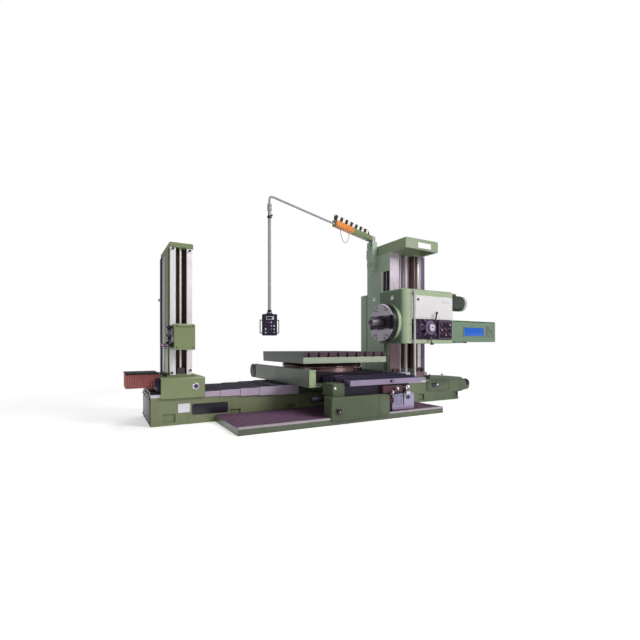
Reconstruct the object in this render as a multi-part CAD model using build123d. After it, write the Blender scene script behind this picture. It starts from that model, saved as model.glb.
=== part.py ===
"""A table-type horizontal boring mill, in millimetres.

The bed lies along X and rests on the floor at Z = 0. Its left end carries the back-rest, its right
end the column with the headstock. Between them the saddle slides along the bed, the cross slide
crosses it and the rotary table turns on top. The operator stands in front, at negative Y.
"""
from build123d import *
import os
from math import cos, sin, radians

# The bed, centred on the origin
BED_LENGTH = 5475
BED_WIDTH = 950
BED_HEIGHT = 359
WAY_HEIGHT = 41
WAY_WIDTH = 170
TROUGH_DEPTH = 150
POCKET_COUNT = 7
POCKET_WIDTH = 155
POCKET_HEIGHT = 110
POCKET_DEPTH = 28
POCKET_FLOOR = 38
POCKET_INSET = 217
BED_SCREW_DIAMETER = 60
END_HOUSING_RISE = 113
END_PLATE = 22
END_REACH = 235
END_DROP = 327
FEED_MOTOR_DIAMETER = 176
FEED_MOTOR_INSET = 98
FEED_MOTOR_PROUD = 112
LUBE_LAP = 50
LUBE_WIDTH = 540
LUBE_THICKNESS = 14
LUBE_BOTTOM = 190

# Clearances that the whole machine shares
SEAT_GAP = 0.3
SLIDE_GAP = 6

# The back-rest: a carriage on the bed, an upright and the steady block that slides on it
CARRIAGE_INSET = 118
CARRIAGE_LENGTH = 543
CARRIAGE_TOP = 608
CARRIAGE_SKIRT = 40
CARRIAGE_SKIRT_DROP = 54
BACKREST_INSET = 127
BACKREST_WIDTH = 275
BACKREST_DEPTH = 820
BACKREST_TOP = 2302
BACKREST_CAP = 65
BACKREST_SETBACK = 100
BACKREST_WAY = 68
BACKREST_RECESS = 120
BACKREST_SCREW = 30
UPRIGHT_WAY_THICKNESS = 14
STEADY_WIDTH = 250
STEADY_HEIGHT = 320
STEADY_DEPTH = 385
STEADY_CENTRE = 1125
STEADY_OVERHANG = 10
STEADY_BORE = 110
STEADY_SLEEVE = 170
BELLOWS_LENGTH = 388
BELLOWS_BOTTOM = 476
BELLOWS_HEIGHT = 190
BELLOWS_WIDTH = 480
BELLOWS_FOLDS = 14

# The operator's platform, on the floor in front of the bed
PLATFORM_START = 800
PLATFORM_LENGTH = 3200
PLATFORM_DEPTH = 980
PLATFORM_HEIGHT = 93
PLATFORM_CLEAR = 20
PLATFORM_BAYS = 8
TREAD_THICKNESS = 8
NOSING_WIDTH = 40

# Telescopic covers over the bed, smallest at the carriage and largest at the saddle
COVER_COUNT = 5
COVER_SHEET = 3
COVER_STEP = 8
COVER_TOP = 412
COVER_SIDE = 12
COVER_SKIRT_BOTTOM = 340
COVER_LAP = 60
WIPER = 12

# The saddle and what hangs from it
SADDLE_START = 2020
SADDLE_LENGTH = 1440
SADDLE_TOP = 480
HAND_SHAFT_REACH = 135
HAND_SHAFT_DIAMETER = 80
HAND_SHAFT_BACK = 305
HAND_SHAFT_DROP = 50
SADDLE_FLANGE = 24
SADDLE_OVERHANG = 50
SADDLE_REACH_FRONT = 680
SADDLE_REACH_BACK = 690
SADDLE_SKIRT = 50
SADDLE_SKIRT_DROP = 90
CROSS_WAY_TOP = 530
CROSS_WAY_WIDTH = 190
DRIVE_COVER_WIDTH = 105
DRIVE_COVER_TOP = 690
APRON_FRONT = 1030
APRON_PLATE = 24
APRON_LEFT_INSET = 10
APRON_WIDTH = 930
APRON_TOP = 355
APRON_DEPTH = 200
APRON_PLATE_BOTTOM = 58
APRON_FLOAT = 10
NECK_FRONT = 950
CORNER_BOX_INSET = 65
CORNER_BOX_WIDTH = 175
CORNER_BOX_TOP = 520
CABINET_GAP = 115
CABINET_WIDTH = 405
CABINET_HEIGHT = 230
CABINET_DEPTH = 200
PUMP_MOTOR_DIAMETER = 120
PUMP_MOTOR_LENGTH = 106

# Telescopic covers over the cross ways, three sections at each end
CROSS_COVER_LEFT = 310
CROSS_COVER_WIDTH = 1250
CROSS_COVER_TOP = 556
CROSS_COVER_STEP = 16
CROSS_COVER_SHEET = 6
CROSS_TRAVEL = 250
COVER_MARGIN = 12
CROSS_COVER_FRONT_REACH = 970
CROSS_COVER_BACK_REACH = 750

# The cross slide and the rotary table
CROSS_SLIDE_TOP = 620
CROSS_SLIDE_INSET = 30
CROSS_SLIDE_LENGTH = 1470
TABLE_WIDTH = 1500
TABLE_LENGTH = 1570
TABLE_BOTTOM = 757
TABLE_BODY = 93
TABLE_TOP = 926
TURNTABLE_DIAMETER = 1300
SLOT_COUNT = 9
SLOT_EDGE = 90
SLOT_THROAT = 28
SLOT_HEAD = 46
SLOT_HEAD_HEIGHT = 26

# The column on the right end of the bed
COLUMN_SETBACK = 775
COLUMN_WIDTH = 820
COLUMN_FRONT = 100
COLUMN_FLANGE = 70
COLUMN_NECK = 100
COLUMN_NECK_INSET = 60
COLUMN_DEPTH = 700
COLUMN_TOP = 2665
COLUMN_FOOT = 40
COLUMN_FOOT_MARGIN = 30
COLUMN_RECESS_WIDTH = 370
COLUMN_RECESS_DEPTH = 200
COLUMN_LEFT_WAY = 200
SIDE_SLOT_TOP = 2350
COLUMN_SCREW_DIAMETER = 65
COLUMN_SHAFT_DIAMETER = 36
COLUMN_SHAFT_SPACING = 140
FOOT_BEARING_HEIGHT = 80
FOOT_BEARING_WIDTH = 250
CAP_HEIGHT = 180
CAP_OVERHANG = 400
CAP_LEFT_INSET = 5
CAP_RIGHT_INSET = 40
CAP_WALL = 45
CAP_POCKET = 130
REAR_BOX_DEPTH = 185
REAR_BOX_TOP = 1990
REAR_BOX_INSET = 30

# The headstock
SPINDLE_FRONT = 130
SPINDLE_HEIGHT = 1400
HEAD_OVERHANG = 220
HEAD_WIDTH = 1100
HEAD_FRONT = 500
HEAD_BELOW = 340
HEAD_ABOVE = 545
HEAD_CORNER = 110
KEEPER_THICKNESS = 44
KEEPER_DEPTH = 50
KEEPER_ABOVE = 240
PANEL_INSET = 170
PANEL_MARGIN = 12
PANEL_THICKNESS = 10
PANEL_SPLIT_ABOVE = 55
PANEL_TOP_MARGIN = 100
CONSOLE_DEPTH = 45
CONSOLE_BOTTOM_MARGIN = 62
TAIL_LENGTH = 1190
TAIL_FRONT = 470
TAIL_DEPTH = 460
TAIL_BELOW = 307
TAIL_ABOVE = 65
MOTOR_DIAMETER = 260
MOTOR_LENGTH = 510
MOTOR_FRONT = 260
MOTOR_ABOVE = 390
GUIDE_ROD_DIAMETER = 36
GUIDE_ROD_STAND = 32
GUIDE_ROD_BOTTOM = 520

# The facing head, its radial slide and the boring spindle
PLATE_DIAMETER = 620
PLATE_THICKNESS = 110
PLATE_GROOVE = 230
PLATE_GROOVE_DEPTH = 62
BOSS_LENGTH = 60
BOSS_DIAMETER = 650
RADIAL_TRAVEL = 80
SPINDLE_DIAMETER = 130
SPINDLE_OUT = 200
SPINDLE_LENGTH = 2450
SPINDLE_SOCKET = 70
SPINDLE_SOCKET_DEPTH = 120
RUNNING_FIT = 0.1

# The capstan handwheel on the headstock's console
WHEEL_INSET = 545
WHEEL_BELOW = 78
WHEEL_DIAMETER = 235
WHEEL_HUB = 130
SPOKE_REACH = 165

# The pendant arm and the pendant
POST_WIDTH = 110
POST_DEPTH = 170
POST_BOTTOM = 2450
POST_TOP = 2925
POST_BACK = 550
ARM_PIN = 50
ARM_HUB = 120
ARM_BEAM = 90
ARM_BEAM_LENGTH = 1200
ARM_HEIGHT = 2985
ARM_REACH = 2670
ARM_TURN = 23.4
ARM_TUBE = 30
ARM_TUBE_DROP = 15
MARKER_HEIGHT = 95
MARKER_START = 100
ARM_BEND = 60
PENDANT_TOP = 2830
PENDANT_TUBE = 42
PENDANT_BOX_TOP = 1425
PENDANT_BOX_WIDTH = 190
PENDANT_BOX_HEIGHT = 275
PENDANT_BOX_DEPTH = 110
PENDANT_TURN = -18

# The cable loop under the arm: distance from the arm's pivot, and height below the beam
CABLE_DIAMETER = 12
CABLE_ROUTE = [(1030, 0), (1030, 70), (985, 165), (905, 215), (835, 180), (775, 90), (775, 0)]

# Places that several pieces share
BED_LEFT = -BED_LENGTH / 2
BED_RIGHT = BED_LENGTH / 2
BED_FRONT = -BED_WIDTH / 2
BED_BACK = BED_WIDTH / 2
WAY_TOP = BED_HEIGHT + WAY_HEIGHT
CARRIAGE_LEFT = BED_LEFT + CARRIAGE_INSET
CARRIAGE_RIGHT = CARRIAGE_LEFT + CARRIAGE_LENGTH
UPRIGHT_LEFT = CARRIAGE_LEFT + BACKREST_INSET
UPRIGHT_RIGHT = UPRIGHT_LEFT + BACKREST_WIDTH
UPRIGHT_FRONT = BED_FRONT + BACKREST_SETBACK
SADDLE_LEFT = BED_LEFT + SADDLE_START
SADDLE_RIGHT = SADDLE_LEFT + SADDLE_LENGTH
SADDLE_FRONT = BED_FRONT - SADDLE_REACH_FRONT
SADDLE_BACK = BED_BACK + SADDLE_REACH_BACK
TABLE_CENTRE_X = (SADDLE_LEFT + SADDLE_RIGHT) / 2 - 24
COLUMN_RIGHT = BED_RIGHT - COLUMN_SETBACK
COLUMN_LEFT = COLUMN_RIGHT - COLUMN_WIDTH
COLUMN_FACE = BED_FRONT + COLUMN_FRONT
COLUMN_BACK = COLUMN_FACE + COLUMN_DEPTH
HEAD_LEFT = COLUMN_LEFT - HEAD_OVERHANG
HEAD_RIGHT = HEAD_LEFT + HEAD_WIDTH
HEAD_FACE = BED_FRONT - HEAD_FRONT
SPINDLE_Y = BED_FRONT - SPINDLE_FRONT
KEEPER_TOP = SPINDLE_HEIGHT + KEEPER_ABOVE
WHEEL_HEIGHT = SPINDLE_HEIGHT - WHEEL_BELOW
MOTOR_HEIGHT = SPINDLE_HEIGHT + MOTOR_ABOVE
TAIL_TOP = SPINDLE_HEIGHT + TAIL_ABOVE
TAIL_BOTTOM = SPINDLE_HEIGHT - TAIL_BELOW
PANEL_SPLIT = SPINDLE_HEIGHT + PANEL_SPLIT_ABOVE
HEAD_TOP = SPINDLE_HEIGHT + HEAD_ABOVE
HEAD_BOTTOM = SPINDLE_HEIGHT - HEAD_BELOW
PLATE_LEFT = HEAD_LEFT - BOSS_LENGTH - PLATE_THICKNESS
ARM_X = COLUMN_LEFT - POST_WIDTH / 2
ARM_Y = BED_FRONT + POST_BACK
CROSS_LEFT = SADDLE_LEFT + CROSS_COVER_LEFT
APRON_LEFT = SADDLE_LEFT - APRON_LEFT_INSET
APRON_RIGHT = APRON_LEFT + APRON_WIDTH
APRON_FACE = BED_FRONT - APRON_FRONT
SLIDE_FRONT = -CROSS_SLIDE_LENGTH / 2
SLIDE_BACK = CROSS_SLIDE_LENGTH / 2
END_HOUSING_TOP = BED_HEIGHT + END_HOUSING_RISE


def block(x0, x1, y0, y1, z0, z1):
    """A plain block between two corners."""
    return Pos((x0 + x1) / 2, (y0 + y1) / 2, (z0 + z1) / 2) * Box(x1 - x0, y1 - y0, z1 - z0)


def bar_x(x0, x1, y, z, diameter):
    """A round bar along X."""
    return Pos((x0 + x1) / 2, y, z) * Rot(0, 90, 0) * Cylinder(diameter / 2, x1 - x0)


def bar_y(x, y0, y1, z, diameter):
    """A round bar along Y."""
    return Pos(x, (y0 + y1) / 2, z) * Rot(90, 0, 0) * Cylinder(diameter / 2, y1 - y0)


def bar_z(x, y, z0, z1, diameter):
    """A round bar along Z."""
    return Pos(x, y, (z0 + z1) / 2) * Cylinder(diameter / 2, z1 - z0)


def side_view(points, y0, y1):
    """An outline given as (x, z), carried from y0 to y1."""
    outline = Plane.XZ.offset(-y0) * make_face(Polyline(*points, close=True))
    return extrude(outline, amount=-(y1 - y0))


def end_view(points, x0, x1):
    """An outline given as (y, z), carried from x0 to x1."""
    outline = Plane.YZ.offset(x0) * make_face(Polyline(*points, close=True))
    return extrude(outline, amount=x1 - x0)


def top_view(points, z0, z1):
    """An outline given as (x, y), carried from z0 to z1."""
    outline = Plane.XY.offset(z0) * make_face(Polyline(*points, close=True))
    return extrude(outline, amount=z1 - z0)


def edges_at(part, axis, **place):
    """The edges along one axis whose middle lies at the given x, y or z."""
    chosen = part.edges().filter_by(axis)
    for name, value in place.items():
        chosen = chosen.filter_by(lambda e: abs(getattr(e.center(), name.upper()) - value) < 0.5)
    return chosen


# The bed and its right end

def bed_casting():
    trough = BED_WIDTH / 2 - WAY_WIDTH
    half = BED_WIDTH / 2
    floor = BED_HEIGHT - TROUGH_DEPTH
    section = [(-half, 0), (half, 0), (half, BED_HEIGHT), (trough, BED_HEIGHT),
               (trough - 40, floor), (40 - trough, floor), (-trough, BED_HEIGHT), (-half, BED_HEIGHT)]
    body = end_view(section, BED_LEFT, BED_RIGHT)
    pitch = (BED_LENGTH - POCKET_INSET - 105) / (POCKET_COUNT - 1)
    for i in range(POCKET_COUNT):
        x = BED_LEFT + POCKET_INSET + i * pitch
        for y in (BED_FRONT, BED_BACK):
            body -= Pos(x, y, POCKET_FLOOR + POCKET_HEIGHT / 2) * Box(POCKET_WIDTH, 2 * POCKET_DEPTH,
                                                                     POCKET_HEIGHT)
    end_plate = block(BED_LEFT, BED_LEFT + END_PLATE, -trough, trough, floor, BED_HEIGHT + WAY_HEIGHT - 12)
    return body + end_plate


def bed_ways():
    end = BED_RIGHT - COLUMN_SETBACK + 20
    front = block(BED_LEFT, end, BED_FRONT, BED_FRONT + WAY_WIDTH, BED_HEIGHT, WAY_TOP)
    back = block(BED_LEFT, end, BED_BACK - WAY_WIDTH, BED_BACK, BED_HEIGHT, WAY_TOP)
    return chamfer(front.edges().filter_by(Axis.X).group_by(Axis.Z)[-1], 5) + \
        chamfer(back.edges().filter_by(Axis.X).group_by(Axis.Z)[-1], 5)


def bed_screw():
    z = BED_HEIGHT - TROUGH_DEPTH / 2
    floor = BED_HEIGHT - TROUGH_DEPTH
    screw = bar_x(BED_LEFT + 60, COLUMN_RIGHT, 0, z, BED_SCREW_DIAMETER)
    for x in (BED_LEFT + 90, COLUMN_RIGHT - 40):
        screw += block(x - 45, x + 45, -110, 110, floor, BED_HEIGHT - 12)
    return screw


def end_housing():
    """The feed gearbox cover that straddles the bed's right end."""
    left = COLUMN_RIGHT + COLUMN_FOOT_MARGIN
    top = END_HOUSING_TOP
    nose = [(0.3, 0.15), (0.79, 0.34), (1.0, 0.52), (0.87, 0.87)]
    nose = [(BED_RIGHT + reach * END_REACH, top - drop * END_DROP) for reach, drop in nose]
    outline = [(left, BED_HEIGHT), (left, top), *nose, (BED_RIGHT + 0.34 * END_REACH, top - END_DROP),
               (BED_RIGHT, top - END_DROP), (BED_RIGHT, BED_HEIGHT)]
    body = side_view(outline, BED_FRONT, BED_FRONT + 430)
    for x, _ in nose:
        body = fillet(edges_at(body, Axis.Y, x=x), 28)
    return chamfer(edges_at(body, Axis.Z, x=left, y=BED_FRONT), 8)


def feed_motor():
    """The dark end bell of the feed motor, on the housing's nose."""
    x = BED_RIGHT + END_REACH
    y = BED_FRONT + FEED_MOTOR_INSET
    z = END_HOUSING_TOP - 0.7 * END_DROP
    bell = bar_x(x - 60, x + FEED_MOTOR_PROUD, y, z, FEED_MOTOR_DIAMETER)
    bell = fillet(bell.edges().filter_by(GeomType.CIRCLE).sort_by(Axis.X)[-1], 30)
    return bell - end_housing()


def lube_panel():
    """The raised cover on the bed's front with its recessed gauge window."""
    left = COLUMN_RIGHT - LUBE_LAP
    panel = block(left, left + LUBE_WIDTH, BED_FRONT - LUBE_THICKNESS, BED_FRONT, LUBE_BOTTOM, BED_HEIGHT - 4)
    panel = fillet(panel.edges().filter_by(Axis.Y), 12)
    window = block(left + LUBE_WIDTH / 5, left + LUBE_WIDTH * 0.58, BED_FRONT - 2 * LUBE_THICKNESS,
                   BED_FRONT - LUBE_THICKNESS / 2, BED_HEIGHT - 114, BED_HEIGHT - 24)
    return panel - window


# The back-rest

def backrest_carriage():
    left, right = CARRIAGE_LEFT, CARRIAGE_RIGHT
    body = block(left, right, BED_FRONT - CARRIAGE_SKIRT, BED_BACK + CARRIAGE_SKIRT,
                 WAY_TOP - CARRIAGE_SKIRT_DROP, CARRIAGE_TOP)
    body -= block(left - 1, right + 1, BED_FRONT - 2, BED_BACK + 2, 0, WAY_TOP)
    body = chamfer(body.edges().filter_by(Axis.X).group_by(Axis.Z)[-1], 14)
    return fillet(edges_at(body, Axis.Z, x=right, y=BED_FRONT - CARRIAGE_SKIRT), 20)


def backrest_column():
    left, right, front = UPRIGHT_LEFT, UPRIGHT_RIGHT, UPRIGHT_FRONT + UPRIGHT_WAY_THICKNESS
    back = UPRIGHT_FRONT + BACKREST_DEPTH
    body = block(left, right, front, back, CARRIAGE_TOP, BACKREST_TOP)
    body -= block(left + BACKREST_WAY, right - BACKREST_WAY, front - 1, front + BACKREST_RECESS,
                  CARRIAGE_TOP + 40, BACKREST_TOP)
    for x0, x1 in ((left - 1, left + 28), (right - 28, right + 1)):
        body -= block(x0, x1, front + 60, front + 190, CARRIAGE_TOP + 40, BACKREST_TOP)
    body = fillet(body.edges().filter_by(Axis.Z).group_by(Axis.Y)[-1], 25)
    foot = block(left - 40, right + 40, front - 8, back + 20, CARRIAGE_TOP, CARRIAGE_TOP + 28)
    return body + foot


def backrest_cap():
    cap = block(UPRIGHT_LEFT - 12, UPRIGHT_RIGHT + 12, UPRIGHT_FRONT - 12,
                UPRIGHT_FRONT + BACKREST_DEPTH + 12, BACKREST_TOP, BACKREST_TOP + BACKREST_CAP)
    return chamfer(cap.edges().group_by(Axis.Z)[-1], 10)


def backrest_ways():
    y0 = UPRIGHT_FRONT
    y1 = y0 + UPRIGHT_WAY_THICKNESS
    z0 = CARRIAGE_TOP + 28
    left = block(UPRIGHT_LEFT, UPRIGHT_LEFT + BACKREST_WAY, y0, y1, z0, BACKREST_TOP)
    right = block(UPRIGHT_RIGHT - BACKREST_WAY, UPRIGHT_RIGHT, y0, y1, z0, BACKREST_TOP)
    return left + right


def backrest_screw():
    x = (UPRIGHT_LEFT + UPRIGHT_RIGHT) / 2
    y = UPRIGHT_FRONT + UPRIGHT_WAY_THICKNESS + BACKREST_RECESS / 2
    screw = bar_z(x, y, CARRIAGE_TOP + 40, BACKREST_TOP, BACKREST_SCREW)
    collar = block(x - 45, x + 45, y - 45, y + BACKREST_RECESS / 2, CARRIAGE_TOP + 40, CARRIAGE_TOP + 110)
    return screw + collar


def backrest_bellows():
    """The folded way bellows that stands out beyond the bed's left end."""
    right = CARRIAGE_LEFT
    left = right - BELLOWS_LENGTH
    y0 = BED_FRONT + 150
    y1 = y0 + BELLOWS_WIDTH
    z1 = BELLOWS_BOTTOM + BELLOWS_HEIGHT
    pitch = BELLOWS_LENGTH / BELLOWS_FOLDS
    fold = 12
    profile = [(left, y0), (left, y1)]
    for i in range(BELLOWS_FOLDS):
        profile += [(left + (i + 0.5) * pitch, y1 - fold), (left + (i + 1) * pitch, y1)]
    profile += [(right, y0)]
    for i in range(BELLOWS_FOLDS - 1, -1, -1):
        profile += [(left + (i + 0.5) * pitch, y0 + fold)]
        if i:
            profile += [(left + i * pitch, y0)]
    body = top_view(profile, BELLOWS_BOTTOM, z1 - 8)
    roof = block(left - 6, right, y0 - 6, y1 + 6, z1 - 8, z1)
    return body + roof


def steady_block():
    left = UPRIGHT_LEFT - STEADY_OVERHANG
    right = left + STEADY_WIDTH
    back = UPRIGHT_FRONT - SEAT_GAP
    front = back - STEADY_DEPTH
    z0 = STEADY_CENTRE - STEADY_HEIGHT / 2
    z1 = z0 + STEADY_HEIGHT
    body = block(left, right, front, back, z0, z1)
    body = fillet(body.edges().filter_by(Axis.Z).group_by(Axis.Y)[0], 14)
    body = chamfer(body.edges().filter_by(Axis.Y).group_by(Axis.Z)[-1], 12)
    return body - bar_x(left - 1, right + 1, SPINDLE_Y, STEADY_CENTRE, STEADY_SLEEVE)


def steady_sleeve():
    left = UPRIGHT_LEFT - STEADY_OVERHANG - 22
    right = UPRIGHT_LEFT - STEADY_OVERHANG + STEADY_WIDTH + 4
    sleeve = bar_x(left, right, SPINDLE_Y, STEADY_CENTRE, STEADY_SLEEVE)
    sleeve += bar_x(left, left + 22, SPINDLE_Y, STEADY_CENTRE, STEADY_SLEEVE + 50)
    return sleeve - bar_x(left - 1, right + 1, SPINDLE_Y, STEADY_CENTRE, STEADY_BORE)


def steady_knob():
    """The clamping lever low on the steady block's left side."""
    x = UPRIGHT_LEFT - STEADY_OVERHANG
    y = UPRIGHT_FRONT - 45
    z = STEADY_CENTRE - STEADY_HEIGHT / 2 + 35
    grip = bar_x(x - 90, x - 50, y, z, 48)
    grip = fillet(grip.edges().filter_by(GeomType.CIRCLE), 10)
    return grip + bar_x(x - 55, x, y, z, 24)


# The platform

def platform_frame():
    left = BED_LEFT + PLATFORM_START
    back = BED_FRONT - PLATFORM_CLEAR
    front = back - PLATFORM_DEPTH
    top = PLATFORM_HEIGHT - TREAD_THICKNESS
    frame = block(left, left + PLATFORM_LENGTH, front, back, 0, top)
    frame -= block(left + 40, left + PLATFORM_LENGTH - 40, front + 40, back - 40, -1, top - 10)
    for i in range(1, PLATFORM_BAYS):
        x = left + i * PLATFORM_LENGTH / PLATFORM_BAYS
        frame += block(x - 6, x + 6, front + 40, back - 40, 0, top - 10)
    middle = (front + back) / 2
    return frame + block(left + 40, left + PLATFORM_LENGTH - 40, middle - 6, middle + 6, 0, top - 10)


def platform_tread():
    left = BED_LEFT + PLATFORM_START
    back = BED_FRONT - PLATFORM_CLEAR
    front = back - PLATFORM_DEPTH + NOSING_WIDTH
    return block(left, left + PLATFORM_LENGTH, front, back, PLATFORM_HEIGHT - TREAD_THICKNESS,
                 PLATFORM_HEIGHT)


def platform_nosing():
    left = BED_LEFT + PLATFORM_START
    front = BED_FRONT - PLATFORM_CLEAR - PLATFORM_DEPTH
    return block(left, left + PLATFORM_LENGTH, front, front + NOSING_WIDTH,
                 PLATFORM_HEIGHT - TREAD_THICKNESS, PLATFORM_HEIGHT)


# Telescopic covers

def channel(x0, x1, y0, y1, bottom, top, sheet):
    """Folded sheet over a way: a top and two sides, running along X."""
    return block(x0, x1, y0, y1, bottom, top) - block(x0 - 1, x1 + 1, y0 + sheet, y1 - sheet,
                                                      bottom - 1, top - sheet)


def bed_cover(number):
    """One section, counted from the carriage. Each laps over the one before it."""
    pitch = (SADDLE_LEFT - CARRIAGE_RIGHT) / COVER_COUNT
    grow = (number - 1) * COVER_STEP
    x1 = CARRIAGE_RIGHT + number * pitch
    x0 = x1 - pitch - (COVER_LAP if number > 1 else 0)
    if number == COVER_COUNT:
        x1 -= SEAT_GAP
    side = COVER_SIDE + grow
    top = COVER_TOP + grow
    cover = channel(x0, x1, BED_FRONT - side, BED_BACK + side, COVER_SKIRT_BOTTOM - grow, top,
                    COVER_SHEET)
    if number > 1:
        cover += block(x0, x0 + WIPER, BED_FRONT - side, BED_BACK + side, top - COVER_STEP + SEAT_GAP, top)
    return cover


def cross_channel(y0, y1, grow):
    """Folded sheet over the cross ways, running along Y."""
    x0 = CROSS_LEFT - grow
    x1 = CROSS_LEFT + CROSS_COVER_WIDTH + grow
    top = CROSS_COVER_TOP + grow
    hollow = block(x0 + CROSS_COVER_SHEET, x1 - CROSS_COVER_SHEET, y0 - 1, y1 + 1,
                   SADDLE_TOP - 1, top - CROSS_COVER_SHEET)
    return block(x0, x1, y0, y1, SADDLE_TOP + (SEAT_GAP if grow else 0), top) - hollow


def cross_span(end):
    """Where the cover on one side starts and stops, and the way it runs."""
    if end == "front":
        return SLIDE_FRONT, BED_FRONT - CROSS_COVER_FRONT_REACH
    return SLIDE_BACK, BED_BACK + CROSS_COVER_BACK_REACH


def cross_cover(number):
    """One section at each end, counted from the saddle's ends towards the cross slide."""
    parts = []
    for end in ("front", "back"):
        inner, outer = cross_span(end)
        sign = 1 if inner > outer else -1
        first = CROSS_TRAVEL + 2 * COVER_MARGIN
        pitch = (abs(inner - outer) - first) / 2
        start = outer + sign * (first + pitch * (number - 2) if number > 1 else 0)
        stop = start + sign * (pitch if number > 1 else first)
        grow = (number - 1) * CROSS_COVER_STEP
        if number > 1:
            start -= sign * (CROSS_TRAVEL / 2 + COVER_MARGIN / 2)
        section = cross_channel(min(start, stop), max(start, stop), grow)
        if number > 1:
            top = CROSS_COVER_TOP + grow
            edge = sorted((start, start + sign * WIPER))
            section += block(CROSS_LEFT - grow, CROSS_LEFT + CROSS_COVER_WIDTH + grow, *edge,
                             top - CROSS_COVER_STEP + SEAT_GAP, top)
        else:
            plate = sorted((outer, outer + sign * CROSS_COVER_SHEET))
            section += block(CROSS_LEFT, CROSS_LEFT + CROSS_COVER_WIDTH, *plate, SADDLE_TOP, CROSS_COVER_TOP)
        parts.append(section)
    return parts[0] + parts[1]


# The saddle

def saddle_casting():
    lower = block(SADDLE_LEFT, SADDLE_RIGHT, BED_FRONT - SADDLE_SKIRT, BED_BACK + SADDLE_SKIRT,
                  WAY_TOP - SADDLE_SKIRT_DROP, SADDLE_TOP)
    lower -= block(SADDLE_LEFT - 1, SADDLE_RIGHT + 1, BED_FRONT - SLIDE_GAP, BED_BACK + SLIDE_GAP, 0,
                   WAY_TOP + SEAT_GAP)
    arms = block(SADDLE_LEFT - SADDLE_OVERHANG, CROSS_LEFT + CROSS_COVER_WIDTH + COVER_STEP, SADDLE_FRONT, SADDLE_BACK, SADDLE_TOP - SADDLE_FLANGE, SADDLE_TOP)
    gusset = [(SADDLE_FRONT, SADDLE_TOP - SADDLE_FLANGE), (BED_FRONT - SADDLE_SKIRT, WAY_TOP - 60),
              (BED_FRONT - SADDLE_SKIRT, SADDLE_TOP - SADDLE_FLANGE)]
    for x in (SADDLE_LEFT + 275, SADDLE_LEFT + 620, SADDLE_RIGHT - 460, SADDLE_RIGHT - 120):
        arms += end_view(gusset, x - 20, x + 20)
        arms += end_view([(-y, z) for y, z in gusset], x - 20, x + 20)
    return lower + arms


def cross_ways():
    parts = []
    for x in (CROSS_LEFT + 90, CROSS_LEFT + CROSS_COVER_WIDTH - 180 - CROSS_WAY_WIDTH):
        parts.append(block(x, x + CROSS_WAY_WIDTH, SADDLE_FRONT, SADDLE_BACK, SADDLE_TOP, CROSS_WAY_TOP))
    return parts[0] + parts[1]


def drive_cover():
    """The long housing beside the cross ways, with a round far end."""
    z0 = SADDLE_TOP - SADDLE_FLANGE
    radius = (DRIVE_COVER_TOP - z0) / 2
    x1 = SADDLE_LEFT - SADDLE_OVERHANG
    x0 = x1 - DRIVE_COVER_WIDTH
    housing = block(x0, x1, SADDLE_FRONT, SADDLE_BACK - radius, z0, DRIVE_COVER_TOP)
    housing += bar_x(x0, x1, SADDLE_BACK - radius, z0 + radius, 2 * radius)
    return chamfer(housing.edges().filter_by(Axis.X).group_by(Axis.Y)[0], 6)


def saddle_apron():
    """The green gear casing that hangs in front, with its face plate over the platform's edge."""
    z0 = PLATFORM_HEIGHT + APRON_FLOAT
    face = APRON_FACE
    body = block(APRON_LEFT, APRON_RIGHT, face + APRON_PLATE, face + APRON_DEPTH, z0, APRON_TOP)
    plate = block(APRON_LEFT, APRON_RIGHT, face, face + APRON_PLATE, APRON_PLATE_BOTTOM, APRON_TOP)
    body += plate
    body = fillet(edges_at(body, Axis.Z, x=APRON_LEFT, y=face), 18)
    return chamfer(body.edges().filter_by(Axis.X).group_by(Axis.Z)[-1], 6)


def saddle_neck():
    """The dark box between the apron and the saddle, which carries both covers and controls."""
    left = APRON_LEFT + CORNER_BOX_INSET + CORNER_BOX_WIDTH
    upper = block(left, APRON_RIGHT + 420, BED_FRONT - NECK_FRONT, SADDLE_FRONT, APRON_TOP, SADDLE_TOP)
    lower = block(left, APRON_RIGHT, APRON_FACE + APRON_DEPTH, SADDLE_FRONT + 60,
                  PLATFORM_HEIGHT + APRON_FLOAT, APRON_TOP)
    shaft = bar_x(APRON_LEFT - HAND_SHAFT_REACH, left + 1, APRON_FACE + HAND_SHAFT_BACK,
                  APRON_TOP - HAND_SHAFT_DROP, HAND_SHAFT_DIAMETER)
    return upper + lower + shaft


def corner_box():
    left = APRON_LEFT + CORNER_BOX_INSET
    box = block(left, left + CORNER_BOX_WIDTH, BED_FRONT - NECK_FRONT, SADDLE_FRONT,
                APRON_TOP, CORNER_BOX_TOP)
    return chamfer(box.edges().filter_by(Axis.X).group_by(Axis.Z)[-1], 8)


def control_cabinet():
    """The pale hydraulic cabinet, louvred on its left half."""
    x0 = APRON_RIGHT + CABINET_GAP
    x1 = x0 + CABINET_WIDTH
    front = BED_FRONT - NECK_FRONT
    z0 = PLATFORM_HEIGHT + APRON_FLOAT
    z1 = z0 + CABINET_HEIGHT
    box = block(x0, x1, front, front + CABINET_DEPTH, z0, z1)
    for i in range(7):
        x = x0 + 22 + i * 24
        box -= block(x, x + 9, front - 1, front + 9, z0 + 60, z1 - 18)
    box -= block(x0 + 195, x0 + 215, front - 1, front + 14, z0 + 55, z1 - 12)
    box -= block(x0 + 255, x0 + 330, front - 1, front + 10, z1 - 85, z1 - 35)
    return box + block(x0 + 40, x1 - 40, front + 60, front + 120, z1, APRON_TOP)


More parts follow.
